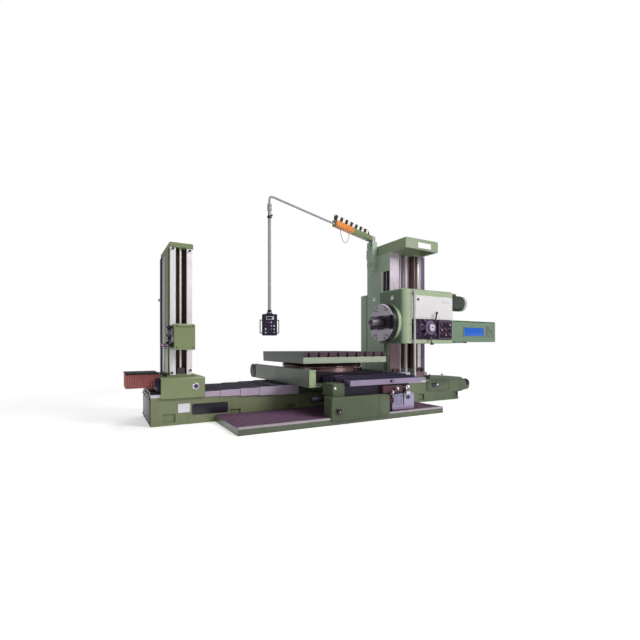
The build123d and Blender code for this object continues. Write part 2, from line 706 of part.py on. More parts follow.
def pump_motor():
    """The small finned motor beside the cabinet."""
    x0 = APRON_RIGHT
    x1 = x0 + PUMP_MOTOR_LENGTH
    y = APRON_FACE + PUMP_MOTOR_DIAMETER / 2 + 40
    z = 250
    motor = bar_x(x0, x1, y, z, PUMP_MOTOR_DIAMETER)
    for i in range(5):
        x = x0 + 16 + i * 17
        motor -= bar_x(x, x + 8, y, z, PUMP_MOTOR_DIAMETER + 2) - bar_x(x, x + 8, y, z,
                                                                         PUMP_MOTOR_DIAMETER - 24)
    return motor


def valve_block():
    """Valve bodies and levers above the cabinet."""
    x0 = APRON_RIGHT - 95
    y1 = BED_FRONT - NECK_FRONT
    y0 = y1 - 60
    body = block(x0, x0 + 330, y0, y1, APRON_TOP + 12, SADDLE_TOP - 18)
    for dx, z in ((175, APRON_TOP + 65), (95, APRON_TOP + 30)):
        body += bar_y(x0 + dx, y0 - 55, y0, z, 16)
        body += Pos(x0 + dx, y0 - 62, z) * Sphere(20)
    body += bar_z(x0 + 445, y1 - 45, APRON_TOP - 15, SADDLE_TOP - 30, 62)
    body += block(x0 + 330, x0 + 445, y1 - 30, y1, APRON_TOP + 30, APRON_TOP + 60)
    return body


# The cross slide and table

def cross_slide():
    left = SADDLE_LEFT + CROSS_SLIDE_INSET
    right = SADDLE_RIGHT - CROSS_SLIDE_INSET
    body = block(left, right, SLIDE_FRONT, SLIDE_BACK, SADDLE_TOP + SLIDE_GAP, CROSS_SLIDE_TOP)
    for x in (CROSS_LEFT + 90, CROSS_LEFT + CROSS_COVER_WIDTH - 180 - CROSS_WAY_WIDTH):
        body -= block(x - SLIDE_GAP, x + CROSS_WAY_WIDTH + SLIDE_GAP, SLIDE_FRONT - 1, SLIDE_BACK + 1, 0,
                      CROSS_WAY_TOP + SEAT_GAP)
    return body


def table_base():
    """The round base that the table turns on."""
    z0, z1 = CROSS_SLIDE_TOP, TABLE_BOTTOM - SEAT_GAP
    disc = bar_z(TABLE_CENTRE_X, 0, z0, z1, TURNTABLE_DIAMETER)
    middle = (z0 + z1) / 2
    ring = bar_z(TABLE_CENTRE_X, 0, middle - 14, middle + 14, TURNTABLE_DIAMETER + 2)
    return disc - (ring - bar_z(TABLE_CENTRE_X, 0, middle - 14, middle + 14, TURNTABLE_DIAMETER - 40))


def table_body():
    x0 = TABLE_CENTRE_X - TABLE_WIDTH / 2
    body = block(x0, x0 + TABLE_WIDTH, -TABLE_LENGTH / 2, TABLE_LENGTH / 2, TABLE_BOTTOM,
                 TABLE_BOTTOM + TABLE_BODY)
    body = fillet(body.edges().filter_by(Axis.Z), 10)
    return chamfer(body.edges().group_by(Axis.Z)[0], 6)


def table_lands():
    """The machined top as the lands that stand between the T-slots."""
    z0 = TABLE_BOTTOM + TABLE_BODY
    head = z0 + SLOT_HEAD_HEIGHT
    x_left = TABLE_CENTRE_X - TABLE_WIDTH / 2
    x_right = TABLE_CENTRE_X + TABLE_WIDTH / 2
    pitch = (TABLE_WIDTH - 2 * SLOT_EDGE) / (SLOT_COUNT - 1)
    centres = [TABLE_CENTRE_X + (i - (SLOT_COUNT - 1) / 2) * pitch for i in range(SLOT_COUNT)]
    throat, undercut = SLOT_THROAT / 2, SLOT_HEAD / 2
    lands = []
    for i in range(SLOT_COUNT + 1):
        x0, foot0 = (centres[i - 1] + throat, centres[i - 1] + undercut) if i else (x_left, x_left)
        x1, foot1 = ((centres[i] - throat, centres[i] - undercut) if i < SLOT_COUNT
                     else (x_right, x_right))
        land = block(foot0, foot1, -TABLE_LENGTH / 2, TABLE_LENGTH / 2, z0, head)
        lands.append(land + block(x0, x1, -TABLE_LENGTH / 2, TABLE_LENGTH / 2, head, TABLE_TOP))
    return Compound(children=lands)


# The column

def column_casting():
    left, right, face, back = COLUMN_LEFT, COLUMN_RIGHT, COLUMN_FACE, COLUMN_BACK
    y0 = face + UPRIGHT_WAY_THICKNESS
    z0 = WAY_TOP
    body = block(left, right, y0, back, z0, COLUMN_TOP)
    slot0 = face + COLUMN_FLANGE
    slot1 = slot0 + COLUMN_NECK
    for x0, x1 in ((left - 1, left + COLUMN_NECK_INSET), (right - COLUMN_NECK_INSET, right + 1)):
        body -= block(x0, x1, slot0, slot1, z0 + COLUMN_FOOT, SIDE_SLOT_TOP)
    recess_left = left + COLUMN_LEFT_WAY
    body -= block(recess_left, recess_left + COLUMN_RECESS_WIDTH, y0 - 1, face + COLUMN_RECESS_DEPTH,
                  z0 + COLUMN_FOOT + 20, COLUMN_TOP)
    body = fillet(body.edges().filter_by(Axis.Z).group_by(Axis.Y)[-1], 40)
    m = COLUMN_FOOT_MARGIN
    body += block(left - m, right + m, face - 10, back + m, z0, z0 + COLUMN_FOOT)
    body += block(right, right + 78, y0 + 6, y0 + 96, END_HOUSING_TOP + 3, END_HOUSING_TOP + 63)
    return body


def column_ways():
    y0, y1 = COLUMN_FACE, COLUMN_FACE + UPRIGHT_WAY_THICKNESS
    z0 = WAY_TOP + COLUMN_FOOT
    recess_right = COLUMN_LEFT + COLUMN_LEFT_WAY + COLUMN_RECESS_WIDTH
    left = block(COLUMN_LEFT, COLUMN_LEFT + COLUMN_LEFT_WAY, y0, y1, z0, COLUMN_TOP)
    right = block(recess_right, COLUMN_RIGHT, y0, y1, z0, COLUMN_TOP)
    return left + right


def column_screw():
    """The elevating screw and the splined shaft beside it, inside the column's recess."""
    x = COLUMN_LEFT + COLUMN_LEFT_WAY + COLUMN_RECESS_WIDTH / 2
    y = COLUMN_FACE + COLUMN_RECESS_DEPTH / 2 + 10
    z0 = WAY_TOP + COLUMN_FOOT + 20
    half = COLUMN_SHAFT_SPACING / 2
    screw = bar_z(x + half, y, z0, COLUMN_TOP, COLUMN_SCREW_DIAMETER)
    shaft = bar_z(x - half, y, z0, COLUMN_TOP, COLUMN_SHAFT_DIAMETER)
    bearing = block(x - FOOT_BEARING_WIDTH / 2, x + FOOT_BEARING_WIDTH / 2, y - COLUMN_SCREW_DIAMETER,
                    COLUMN_FACE + COLUMN_RECESS_DEPTH, z0, z0 + FOOT_BEARING_HEIGHT)
    return screw + shaft + bearing


def column_cap():
    x0, x1 = COLUMN_LEFT + CAP_LEFT_INSET, COLUMN_RIGHT - CAP_RIGHT_INSET
    y0, y1 = COLUMN_FACE - CAP_OVERHANG, COLUMN_BACK + 5
    z0, z1 = COLUMN_TOP, COLUMN_TOP + CAP_HEIGHT
    cap = block(x0, x1, y0, y1, z0, z1)
    cap = fillet(edges_at(cap, Axis.Z, x=x1, y=y0), 60)
    cap = chamfer(cap.edges().group_by(Axis.Z)[-1], 12)
    return cap - block(x0 + CAP_WALL, x1 - CAP_WALL, y0 + CAP_WALL, COLUMN_FACE - 20, z0 - 1,
                       z0 + CAP_POCKET)


def column_rear_box():
    box = block(COLUMN_LEFT, COLUMN_RIGHT - REAR_BOX_INSET, COLUMN_BACK,
                COLUMN_BACK + REAR_BOX_DEPTH, WAY_TOP + COLUMN_FOOT, REAR_BOX_TOP)
    box = fillet(box.edges().filter_by(Axis.Z).group_by(Axis.Y)[-1], 15)
    return chamfer(box.edges().group_by(Axis.Z)[-1], 8)


def pendant_post():
    """The bracket on the column's flank, with the pin that the arm turns on."""
    y0, y1 = ARM_Y - POST_DEPTH / 2, ARM_Y + POST_DEPTH / 2
    outline = [(COLUMN_LEFT, POST_BOTTOM - 60), (COLUMN_LEFT, POST_TOP), (COLUMN_LEFT - POST_WIDTH, POST_TOP),
               (COLUMN_LEFT - POST_WIDTH, POST_BOTTOM)]
    post = side_view(outline, y0, y1)
    post = fillet(post.edges().filter_by(Axis.Z).group_by(Axis.X)[0], 10)
    return post + bar_z(ARM_X, ARM_Y, POST_TOP, ARM_HEIGHT + ARM_BEAM / 2 + 20, ARM_PIN)


# The headstock

def head_keeper(edge, inward):
    """The strip that hooks round one edge of the column's ways and holds the headstock on."""
    outer = edge - inward * (SLIDE_GAP + KEEPER_THICKNESS)
    behind = COLUMN_FACE + COLUMN_FLANGE + SLIDE_GAP
    x0, x1 = sorted((outer, edge - inward * SLIDE_GAP))
    arm = block(x0, x1, COLUMN_FACE - 20, behind + KEEPER_DEPTH, HEAD_BOTTOM + 20, KEEPER_TOP)
    x0, x1 = sorted((outer, edge + inward * (COLUMN_NECK_INSET - 20)))
    return arm + block(x0, x1, behind, behind + KEEPER_DEPTH, HEAD_BOTTOM + 20, KEEPER_TOP)


def headstock_casting():
    back = COLUMN_FACE - SEAT_GAP
    body = block(HEAD_LEFT, HEAD_RIGHT, HEAD_FACE, back, HEAD_BOTTOM, HEAD_TOP)
    body = fillet(edges_at(body, Axis.Z, x=HEAD_LEFT, y=HEAD_FACE), HEAD_CORNER)
    body = chamfer(body.edges().group_by(Axis.Z)[-1], 14)
    x0 = HEAD_LEFT + PANEL_INSET
    x1 = HEAD_RIGHT - PANEL_MARGIN
    body -= block(x0, x1, HEAD_FACE - 1, HEAD_FACE + CONSOLE_DEPTH, HEAD_BOTTOM + CONSOLE_BOTTOM_MARGIN,
                  PANEL_SPLIT)
    body += bar_x(HEAD_LEFT - BOSS_LENGTH, HEAD_LEFT, SPINDLE_Y, SPINDLE_HEIGHT, BOSS_DIAMETER)
    body += head_keeper(COLUMN_LEFT, 1) + head_keeper(COLUMN_RIGHT, -1)
    return body - bar_x(HEAD_LEFT - 200, HEAD_RIGHT + 1, SPINDLE_Y, SPINDLE_HEIGHT,
                        SPINDLE_DIAMETER + 2 * RUNNING_FIT)


def headstock_panel():
    """The pale sheet cover on the headstock's front."""
    x0 = HEAD_LEFT + PANEL_INSET
    x1 = HEAD_RIGHT - PANEL_MARGIN
    panel = block(x0, x1, HEAD_FACE - PANEL_THICKNESS, HEAD_FACE, PANEL_SPLIT + 6, HEAD_TOP - PANEL_TOP_MARGIN)
    return chamfer(panel.edges().group_by(Axis.Y)[0], 4)


def console():
    """The dark control plate in the headstock's recess, with its bosses and lever."""
    x0 = HEAD_LEFT + PANEL_INSET
    x1 = HEAD_RIGHT - PANEL_MARGIN
    y1 = HEAD_FACE + CONSOLE_DEPTH
    z0 = HEAD_BOTTOM + CONSOLE_BOTTOM_MARGIN
    plate = block(x0, x1, y1 - 16, y1, z0, PANEL_SPLIT)
    plate += bar_y(x0 + 130, HEAD_FACE - 12, y1 - 16, WHEEL_HEIGHT, 200)
    plate += block(x1 - 325, x1 - 12, HEAD_FACE + 8, y1 - 16, z0 + 60, PANEL_SPLIT - 20)
    plate -= block(x1 - 305, x1 - 32, HEAD_FACE, HEAD_FACE + 18, z0 + 80, PANEL_SPLIT - 40)
    plate += bar_y(HEAD_LEFT + WHEEL_INSET, HEAD_FACE - 20, y1 - 16, WHEEL_HEIGHT, 60)
    return plate


def tail_housing():
    """The spindle feed housing that runs on to the right of the headstock."""
    x0, x1 = HEAD_RIGHT, HEAD_RIGHT + TAIL_LENGTH
    y0 = BED_FRONT - TAIL_FRONT
    body = block(x0, x1, y0, y0 + TAIL_DEPTH, TAIL_BOTTOM, TAIL_TOP)
    body = chamfer(edges_at(body, Axis.X, y=y0, z=TAIL_TOP), 35)
    body = fillet(body.edges().filter_by(Axis.Z).group_by(Axis.X)[-1], 18)
    foot = block(x0 + 130, x0 + 330, y0 + 20, y0 + 140, TAIL_BOTTOM - 22, TAIL_BOTTOM)
    return body + foot - bar_x(x0 - 1, x1 - 60, SPINDLE_Y, SPINDLE_HEIGHT, SPINDLE_DIAMETER + 2 * RUNNING_FIT)


def main_motor():
    y = BED_FRONT - MOTOR_FRONT
    x0 = HEAD_RIGHT
    motor = bar_x(x0, x0 + MOTOR_LENGTH, y, MOTOR_HEIGHT, MOTOR_DIAMETER)
    motor = fillet(motor.edges().filter_by(GeomType.CIRCLE).sort_by(Axis.X)[-1], 30)
    motor += bar_x(x0, x0 + 26, y, MOTOR_HEIGHT, MOTOR_DIAMETER + 50)
    return motor + block(x0 + 150, x0 + 300, y - 55, y + 55, MOTOR_HEIGHT + 100, MOTOR_HEIGHT + 165)


def guide_rod():
    """The long bright rod in front of the headstock, held by a lug at the top and one lower down."""
    x = HEAD_LEFT + PANEL_INSET + 36
    y = HEAD_FACE - GUIDE_ROD_STAND
    rod = bar_z(x, y, GUIDE_ROD_BOTTOM, HEAD_TOP - 20, GUIDE_ROD_DIAMETER)
    for z in (HEAD_TOP - 60, HEAD_BOTTOM + 30):
        rod += block(x - 26, x + 26, y - 24, HEAD_FACE, z - 20, z + 20)
    return rod


# The facing head, its slide and the spindle

def facing_plate():
    right = HEAD_LEFT - BOSS_LENGTH - SEAT_GAP
    disc = bar_x(PLATE_LEFT, right, SPINDLE_Y, SPINDLE_HEIGHT, PLATE_DIAMETER)
    disc = chamfer(disc.edges().filter_by(GeomType.CIRCLE).sort_by(Axis.X)[0], 10)
    half = PLATE_GROOVE / 2
    z = SPINDLE_HEIGHT
    far = PLATE_DIAMETER
    disc -= block(PLATE_LEFT - 1, PLATE_LEFT + PLATE_GROOVE_DEPTH, SPINDLE_Y - far, SPINDLE_Y + far,
                  z - half, z + half)
    for side in (-1, 1):
        for dy in (-120, 120):
            disc -= bar_x(PLATE_LEFT - 1, PLATE_LEFT + 40, SPINDLE_Y + dy, z + side * 200, 34)
    return disc - bar_x(PLATE_LEFT - 1, right + 1, SPINDLE_Y, SPINDLE_HEIGHT,
                        SPINDLE_DIAMETER + 2 * RUNNING_FIT)


def facing_slide():
    half = PLATE_GROOVE / 2 - SEAT_GAP
    reach = PLATE_DIAMETER / 2 - 35 - RADIAL_TRAVEL / 2
    z = SPINDLE_HEIGHT
    left = PLATE_LEFT + 6
    slide = block(left, PLATE_LEFT + PLATE_GROOVE_DEPTH - SEAT_GAP, SPINDLE_Y - reach, SPINDLE_Y + reach,
                  z - half, z + half)
    hole = SPINDLE_DIAMETER / 2 + SLIDE_GAP
    slide -= block(left - 1, left + 200, SPINDLE_Y - RADIAL_TRAVEL, SPINDLE_Y + RADIAL_TRAVEL,
                   z - hole, z + hole)
    for side in (-1, 1):
        slide -= bar_x(left - 1, left + 200, SPINDLE_Y + side * RADIAL_TRAVEL, z, 2 * hole)
    return slide


def spindle():
    left = PLATE_LEFT - SPINDLE_OUT
    bar = bar_x(left, left + SPINDLE_LENGTH, SPINDLE_Y, SPINDLE_HEIGHT, SPINDLE_DIAMETER)
    bar = chamfer(bar.edges().filter_by(GeomType.CIRCLE).sort_by(Axis.X)[0], 8)
    return bar - bar_x(left - 1, left + SPINDLE_SOCKET_DEPTH, SPINDLE_Y, SPINDLE_HEIGHT, SPINDLE_SOCKET)


def capstan_wheel():
    x, z = HEAD_LEFT + WHEEL_INSET, WHEEL_HEIGHT
    y1 = HEAD_FACE - 20 - SEAT_GAP
    y0 = y1 - 34
    wheel = bar_y(x, y0, y1, z, WHEEL_DIAMETER)
    wheel = fillet(wheel.edges().filter_by(GeomType.CIRCLE).group_by(Axis.Y)[0], 10)
    wheel += bar_y(x, y0 - 22, y0, z, WHEEL_HUB)
    for turn in (45, 135, 225, 315):
        reach_x = SPOKE_REACH * cos(radians(turn))
        reach_z = SPOKE_REACH * sin(radians(turn))
        wheel += Pos(x + reach_x / 2, y0 + 17, z + reach_z / 2) * Rot(0, 90 - turn, 0) * Cylinder(
            8, SPOKE_REACH)
        wheel += Pos(x + reach_x, y0 + 17, z + reach_z) * Sphere(17)
    return wheel


# The pendant arm

def along_arm(part):
    """Turns a piece drawn along negative X from the pivot to the arm's real heading."""
    return Pos(ARM_X, ARM_Y, 0) * Rot(0, 0, ARM_TURN) * part


def arm_beam():
    half = ARM_BEAM / 2
    beam = block(-ARM_BEAM_LENGTH, -30, -half, half, ARM_HEIGHT - half, ARM_HEIGHT + half)
    beam = chamfer(beam.edges().filter_by(Axis.X), 8)
    beam += bar_z(0, 0, POST_TOP + SEAT_GAP, ARM_HEIGHT + half, ARM_HUB)
    beam -= bar_z(0, 0, 0, ARM_HEIGHT + half + 50, ARM_PIN + 2 * RUNNING_FIT)
    return along_arm(beam)


def arm_marker():
    """The striped plate that stands on the beam."""
    foot = ARM_HEIGHT + ARM_BEAM / 2
    top = foot + MARKER_HEIGHT
    outline = [(-ARM_BEAM_LENGTH, foot), (-MARKER_START, foot), (-MARKER_START - 45, top),
               (-ARM_BEAM_LENGTH, top)]
    return along_arm(side_view(outline, -12, 12))


def arm_tube():
    z = ARM_HEIGHT - ARM_TUBE_DROP
    bend_x = -ARM_REACH + ARM_BEND
    tube = bar_x(bend_x, -ARM_BEAM_LENGTH, 0, z, ARM_TUBE)
    tube += bar_z(-ARM_REACH, 0, PENDANT_TOP + 30, z - ARM_BEND, ARM_TUBE)
    ring = Pos(bend_x, 0, z - ARM_BEND) * Rot(90, 0, 0) * Torus(ARM_BEND, ARM_TUBE / 2)
    corner = block(-ARM_REACH - ARM_TUBE, bend_x, -ARM_TUBE, ARM_TUBE, z - ARM_BEND, z + ARM_TUBE)
    tube += ring & corner
    collar = bar_z(-ARM_REACH, 0, PENDANT_TOP + SEAT_GAP, PENDANT_TOP + 30, PENDANT_TUBE + 14)
    return along_arm(tube + collar)


def arm_cable():
    """The loose loop of cable that hangs below the beam."""
    under = ARM_HEIGHT - ARM_BEAM / 2
    points = [(-reach, 0, under - drop) for reach, drop in CABLE_ROUTE]
    runs = [(Vector(*b) - Vector(*a)) for a, b in zip(points, points[1:])]
    radii = []
    for before, after in zip(runs, runs[1:]):
        turn = radians(before.get_angle(after))
        shorter = min(before.length, after.length)
        radii.append(0.45 * shorter * cos(turn / 2) / sin(turn / 2))
    print("cable bend radii", [round(r) for r in radii])
    path = FilletPolyline(*points, radius=radii)
    print("cable length", round(path.length))
    section = Plane(origin=points[0], z_dir=path % 0) * Circle(CABLE_DIAMETER / 2)
    return along_arm(sweep(section, path=path))


def pendant_place():
    """The pendant's own axis, below the end of the arm."""
    reach = ARM_REACH
    x = ARM_X - reach * cos(radians(ARM_TURN))
    y = ARM_Y - reach * sin(radians(ARM_TURN))
    return Pos(x, y, 0) * Rot(0, 0, PENDANT_TURN)


def pendant_tube():
    tube = bar_z(0, 0, PENDANT_BOX_TOP, PENDANT_TOP, PENDANT_TUBE)
    tube += bar_z(0, 0, PENDANT_TOP - 34, PENDANT_TOP, PENDANT_TUBE + 14)
    tube += bar_z(0, 0, PENDANT_BOX_TOP, PENDANT_BOX_TOP + 26, PENDANT_TUBE + 30)
    return pendant_place() * tube


def pendant_box():
    w, d = PENDANT_BOX_WIDTH / 2, PENDANT_BOX_DEPTH / 2
    top, bottom = PENDANT_BOX_TOP, PENDANT_BOX_TOP - PENDANT_BOX_HEIGHT
    body = side_view([(-w, top), (w, top), (w, bottom), (-w, bottom)], -d, d)
    body = fillet(body.edges().filter_by(Axis.Y), 12)
    face = block(-w + 12, w - 12, -d - 6, -d, bottom + 14, top - 14)
    return pendant_place() * (body + face)


def pendant_handles():
    """The two bow handles at the pendant's sides."""
    w = PENDANT_BOX_WIDTH / 2
    top = PENDANT_BOX_TOP - 70
    bottom = PENDANT_BOX_TOP - PENDANT_BOX_HEIGHT + 25
    parts = []
    for side in (-1, 1):
        x0, x1 = side * w, side * (w + 26)
        grip = bar_z(x1, 0, bottom, top, 14)
        for z in (bottom + 7, top - 7):
            grip += bar_x(min(x0, x1), max(x0, x1), 0, z, 14)
        parts.append(grip)
    return pendant_place() * (parts[0] + parts[1])


def main():
    pieces = {
        "bed_casting": bed_casting() + lube_panel(),
        "bed_ways": bed_ways() + bed_screw(),
        "end_housing": end_housing() + feed_motor(),
        "backrest_carriage": backrest_carriage(),
        "backrest_column": backrest_column() + backrest_cap(),
        "backrest_ways": backrest_ways() + backrest_screw(),
        "backrest_bellows": backrest_bellows(),
        "steady_block": steady_block(),
        "steady_fittings": steady_sleeve() + steady_knob(),
        "platform_frame": platform_frame() + platform_nosing(),
        "platform_tread": platform_tread(),
        "saddle_casting": saddle_casting() + cross_ways(),
        "drive_cover": drive_cover(),
        "saddle_apron": saddle_apron() + corner_box(),
        "saddle_neck": saddle_neck(),
        "control_cabinet": control_cabinet(),
        "hydraulic_unit": valve_block() + pump_motor(),
        "cross_slide": cross_slide() + table_base(),
        "table_body": table_body(),
        "table_lands": table_lands(),
        "column_casting": column_casting() + column_rear_box() + pendant_post(),
        "column_ways": column_ways(),
        "column_screw": column_screw(),
        "column_cap": column_cap(),
        "headstock_casting": headstock_casting(),
        "headstock_panel": headstock_panel(),
        "console": console(),
        "tail_housing": tail_housing(),
        "main_motor": main_motor(),
        "guide_rod": guide_rod(),
        "facing_plate": facing_plate(),
        "facing_slide": facing_slide(),
        "spindle": spindle(),
        "capstan_wheel": capstan_wheel(),
        "arm_beam": arm_beam() + arm_tube(),
        "arm_marker": arm_marker(),
        "arm_cable": arm_cable(),
        "pendant_frame": pendant_tube() + pendant_handles(),
        "pendant_box": pendant_box(),
    }
    for number in range(1, COVER_COUNT + 1):
        pieces[f"bed_cover_{number}"] = bed_cover(number)
    pieces["cross_cover_outer"] = cross_cover(1)
    pieces["cross_cover_middle"] = cross_cover(2)
    pieces["cross_cover_inner"] = cross_cover(3)
    os.makedirs("parts", exist_ok=True)
    for name, piece in pieces.items():
        export_step(piece, f"parts/{name}.step")


main()
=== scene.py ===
# %% [markdown]
# # Dressing a horizontal boring mill
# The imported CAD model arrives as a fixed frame: every casting, slide and cover already stands
# where it belongs. This lesson gives those parts their paint, steel and sheet metal, and adds the
# small pieces that a machine of this kind shows: screws, sight glasses, levers, ribs, dials and
# plates. All sizes are in metres, in the frame of the part: X along the bed, Y away from the
# operator, Z up.

# %% Load the frame
import bpy
import bmesh
from itertools import product
from math import cos, sin, pi, radians
from mathutils import Matrix, Vector


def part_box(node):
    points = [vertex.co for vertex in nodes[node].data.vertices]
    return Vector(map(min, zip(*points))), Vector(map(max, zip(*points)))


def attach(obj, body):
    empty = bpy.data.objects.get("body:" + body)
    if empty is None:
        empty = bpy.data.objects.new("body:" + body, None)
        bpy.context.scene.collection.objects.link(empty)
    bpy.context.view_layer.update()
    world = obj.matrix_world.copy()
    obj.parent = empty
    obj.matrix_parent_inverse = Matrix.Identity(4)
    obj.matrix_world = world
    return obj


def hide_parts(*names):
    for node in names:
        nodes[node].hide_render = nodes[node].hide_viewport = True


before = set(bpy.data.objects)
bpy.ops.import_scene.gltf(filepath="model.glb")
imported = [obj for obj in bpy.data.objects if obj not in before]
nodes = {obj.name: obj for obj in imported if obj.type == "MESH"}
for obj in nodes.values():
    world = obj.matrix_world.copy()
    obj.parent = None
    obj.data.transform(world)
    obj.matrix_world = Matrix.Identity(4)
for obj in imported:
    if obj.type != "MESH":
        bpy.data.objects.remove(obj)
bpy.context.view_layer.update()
print("CAD nodes:", len(nodes))

# %% [markdown]
# ## Helpers for node trees
# Every light and finish below is a small network of shader nodes. It could be drawn by hand in the
# shader editor, but a network written as code can be read in order and used again. One helper
# makes a node and fills its inputs; the others are the few nodes that nearly every finish needs.

# %% Helpers for node trees
WHITE, BLACK = (1.0, 1.0, 1.0, 1.0), (0.0, 0.0, 0.0, 1.0)


def join(tree, node, inputs):
    """Gives each input of a node its value, or a link when the value is another node's socket."""
    for key, value in inputs.items():
        if isinstance(value, bpy.types.NodeSocket):
            tree.links.new(value, node.inputs[key])
        else:
            node.inputs[key].default_value = value


def wire(tree, kind, inputs=None, **settings):
    """A shader node of one kind, with its settings and inputs."""
    node = tree.nodes.new("ShaderNode" + kind)
    for key, value in settings.items():
        setattr(node, key, value)
    join(tree, node, inputs or {})
    return node


def maths(tree, operation, *operands, clamp=False):
    return wire(tree, "Math", dict(enumerate(operands)), operation=operation,
                use_clamp=clamp).outputs[0]


def vector_maths(tree, operation, inputs):
    return wire(tree, "VectorMath", inputs, operation=operation).outputs


def remap(tree, value, low, high, bottom=0.0, top=1.0):
    """A value stretched so that low becomes bottom and high becomes top, and kept between them."""
    return wire(tree, "MapRange", {"Value": value, "From Min": low, "From Max": high,
                                             "To Min": bottom, "To Max": top}).outputs[0]


def blend(tree, factor, first, second):
    """The first colour where the factor is 0 and the second where it is 1."""
    return wire(tree, "Mix", {0: factor, 6: first, 7: second},
                data_type="RGBA").outputs[2]


def blend_shaders(tree, factor, first, second):
    return wire(tree, "MixShader", {0: factor, 1: first, 2: second}).outputs[0]


NOISE_RANGE = (0.3, 0.7)  # nearly all the values of a noise lie between these


def noise(tree, place, scale, detail, roughness):
    return wire(tree, "TexNoise", {"Vector": place, "Scale": scale, "Detail": detail,
                                             "Roughness": roughness}).outputs["Fac"]


def place_of(tree):
    """The place of the shaded point, in true metres, because CAD objects sit at the origin."""
    return wire(tree, "TexCoord").outputs["Object"]


def split(tree, vector):
    return wire(tree, "SeparateXYZ", {0: vector}).outputs


def bump(tree, height, strength, depth, normal=None):
    rise = wire(tree, "Bump", {"Height": height, "Strength": strength,
                                         "Distance": depth})
    if normal is not None:
        tree.links.new(normal, rise.inputs["Normal"])
    return rise.outputs[0]


def linear(screen_colour):
    """The linear colour of a screen colour given as 0 to 255."""
    def one(value):
        value = value / 255
        return value / 12.92 if value <= 0.04045 else ((value + 0.055) / 1.055) ** 2.4
    return (*map(one, screen_colour), 1.0)


def tint(colour, gain, lift=0.0):
    """A lighter or darker tone of a linear colour."""
    return (*(min(1.0, channel * gain + lift) for channel in colour[:3]), 1.0)


# %% [markdown]
# ## The camera and the studio
# The photograph was taken a little to the left of the machine, at eye height, with the camera
# level. A level camera keeps upright edges upright, so the small step of the view upward is made
# with the lens shift and not by tilting the camera. The studio is even white light with three
# large soft lamps, because a workshop's own lights would colour the paint.

# %% The camera
EYE = (-3.26, -5.7087, 1.0)
VIEW_TURN = -29.3
FOCAL_PIXELS = 388.0
PHOTO_WIDTH = 640
SENSOR = 36.0
HORIZON_SHIFT = 0.0422

camera_data = bpy.data.cameras.new("camera")
camera_data.sensor_width = SENSOR
camera_data.lens = SENSOR * FOCAL_PIXELS / PHOTO_WIDTH
camera_data.shift_y = HORIZON_SHIFT
camera = bpy.data.objects.new("camera", camera_data)
camera.location = EYE
camera.rotation_euler = (radians(90), 0, radians(VIEW_TURN))
bpy.context.scene.collection.objects.link(camera)
bpy.context.scene.camera = camera
bpy.context.scene.view_settings.view_transform = "Standard"
print("camera lens:", round(camera_data.lens, 2), "mm")

# %% The pale studio
MACHINE_MIDDLE = (0.3, -0.3, 1.0)
LAMPS = (("key_lamp", (3.5, -7.5, 6.0), 4.0, 560), ("fill_lamp", (-8.0, -3.0, 4.0), 4.0, 70),
         ("top_lamp", (0.0, 1.5, 7.5), 5.0, 150))
ROOM_LIGHT, ROOM_SEEN = 0.27, 1.0
FLOOR_REACH, FLOOR_DROP = 60, 0.001
FLOOR_GLOW = 0.42
FADE_START, FADE_END = 3.4, 6.5


def lamp(name, place, size, power):
    """A square lamp that looks at the middle of the machine."""
    data = bpy.data.lights.new(name, "AREA")
    data.size = size
    data.energy = power
    lamp_object = bpy.data.objects.new(name, data)
    lamp_object.location = place
    aim = Vector(MACHINE_MIDDLE) - Vector(place)
    lamp_object.rotation_euler = aim.to_track_quat("-Z", "Y").to_euler()
    bpy.context.scene.collection.objects.link(lamp_object)


def studio_world():
    """Even light all round, which only the camera sees as plain white."""
    world = bpy.data.worlds.new("studio")
    world.use_nodes = True
    tree = world.node_tree
    tree.nodes.clear()
    light, seen = (wire(tree, "Background", {"Color": WHITE, "Strength": power})
                   for power in (ROOM_LIGHT, ROOM_SEEN))
    path = wire(tree, "LightPath").outputs["Is Camera Ray"]
    mix = blend_shaders(tree, path, light.outputs[0], seen.outputs[0])
    wire(tree, "OutputWorld", {0: mix})
    bpy.context.scene.world = world


def pale_floor():
    """A floor that takes the machine's shadow and fades to plain white further out."""
    material = bpy.data.materials.new("pale_floor")
    material.use_nodes = True
    tree = material.node_tree
    tree.nodes.clear()
    diffuse = wire(tree, "BsdfDiffuse", {"Color": WHITE}).outputs[0]
    glow, white = (wire(tree, "Emission", {"Strength": power}).outputs[0]
                   for power in (FLOOR_GLOW, 1.0))
    lit = wire(tree, "AddShader", {0: diffuse, 1: glow}).outputs[0]
    distance = vector_maths(tree, "LENGTH", {0: place_of(tree)})["Value"]
    far = remap(tree, distance, FADE_START, FADE_END)
    path = wire(tree, "LightPath").outputs
    seen = maths(tree, "MAXIMUM", path["Is Camera Ray"], path["Is Glossy Ray"])
    mix = blend_shaders(tree, seen, diffuse, blend_shaders(tree, far, lit, white))
    wire(tree, "OutputMaterial", {0: mix})
    mesh = bpy.data.meshes.new("floor")
    corners = [(x * FLOOR_REACH, y * FLOOR_REACH, 0)
               for x, y in ((-1, -1), (1, -1), (1, 1), (-1, 1))]
    mesh.from_pydata(corners, [], [(0, 1, 2, 3)])
    mesh.materials.append(material)
    floor = bpy.data.objects.new("floor", mesh)
    floor.location.z = -FLOOR_DROP
    bpy.context.scene.collection.objects.link(floor)


for lamp_facts in LAMPS:
    lamp(*lamp_facts)
studio_world()
pale_floor()
print("lamps:", len(LAMPS), "and a floor", 2 * FLOOR_REACH, "m wide")

# %% [markdown]
# ## Shader groups that many finishes share
# Machine paint, ground steel and folded sheet all need the same few effects: patches of slightly
# different colour, lighter worn edges, and fine scratches. Each effect is made once as a node
# group with named sockets, and each material sets its own values.

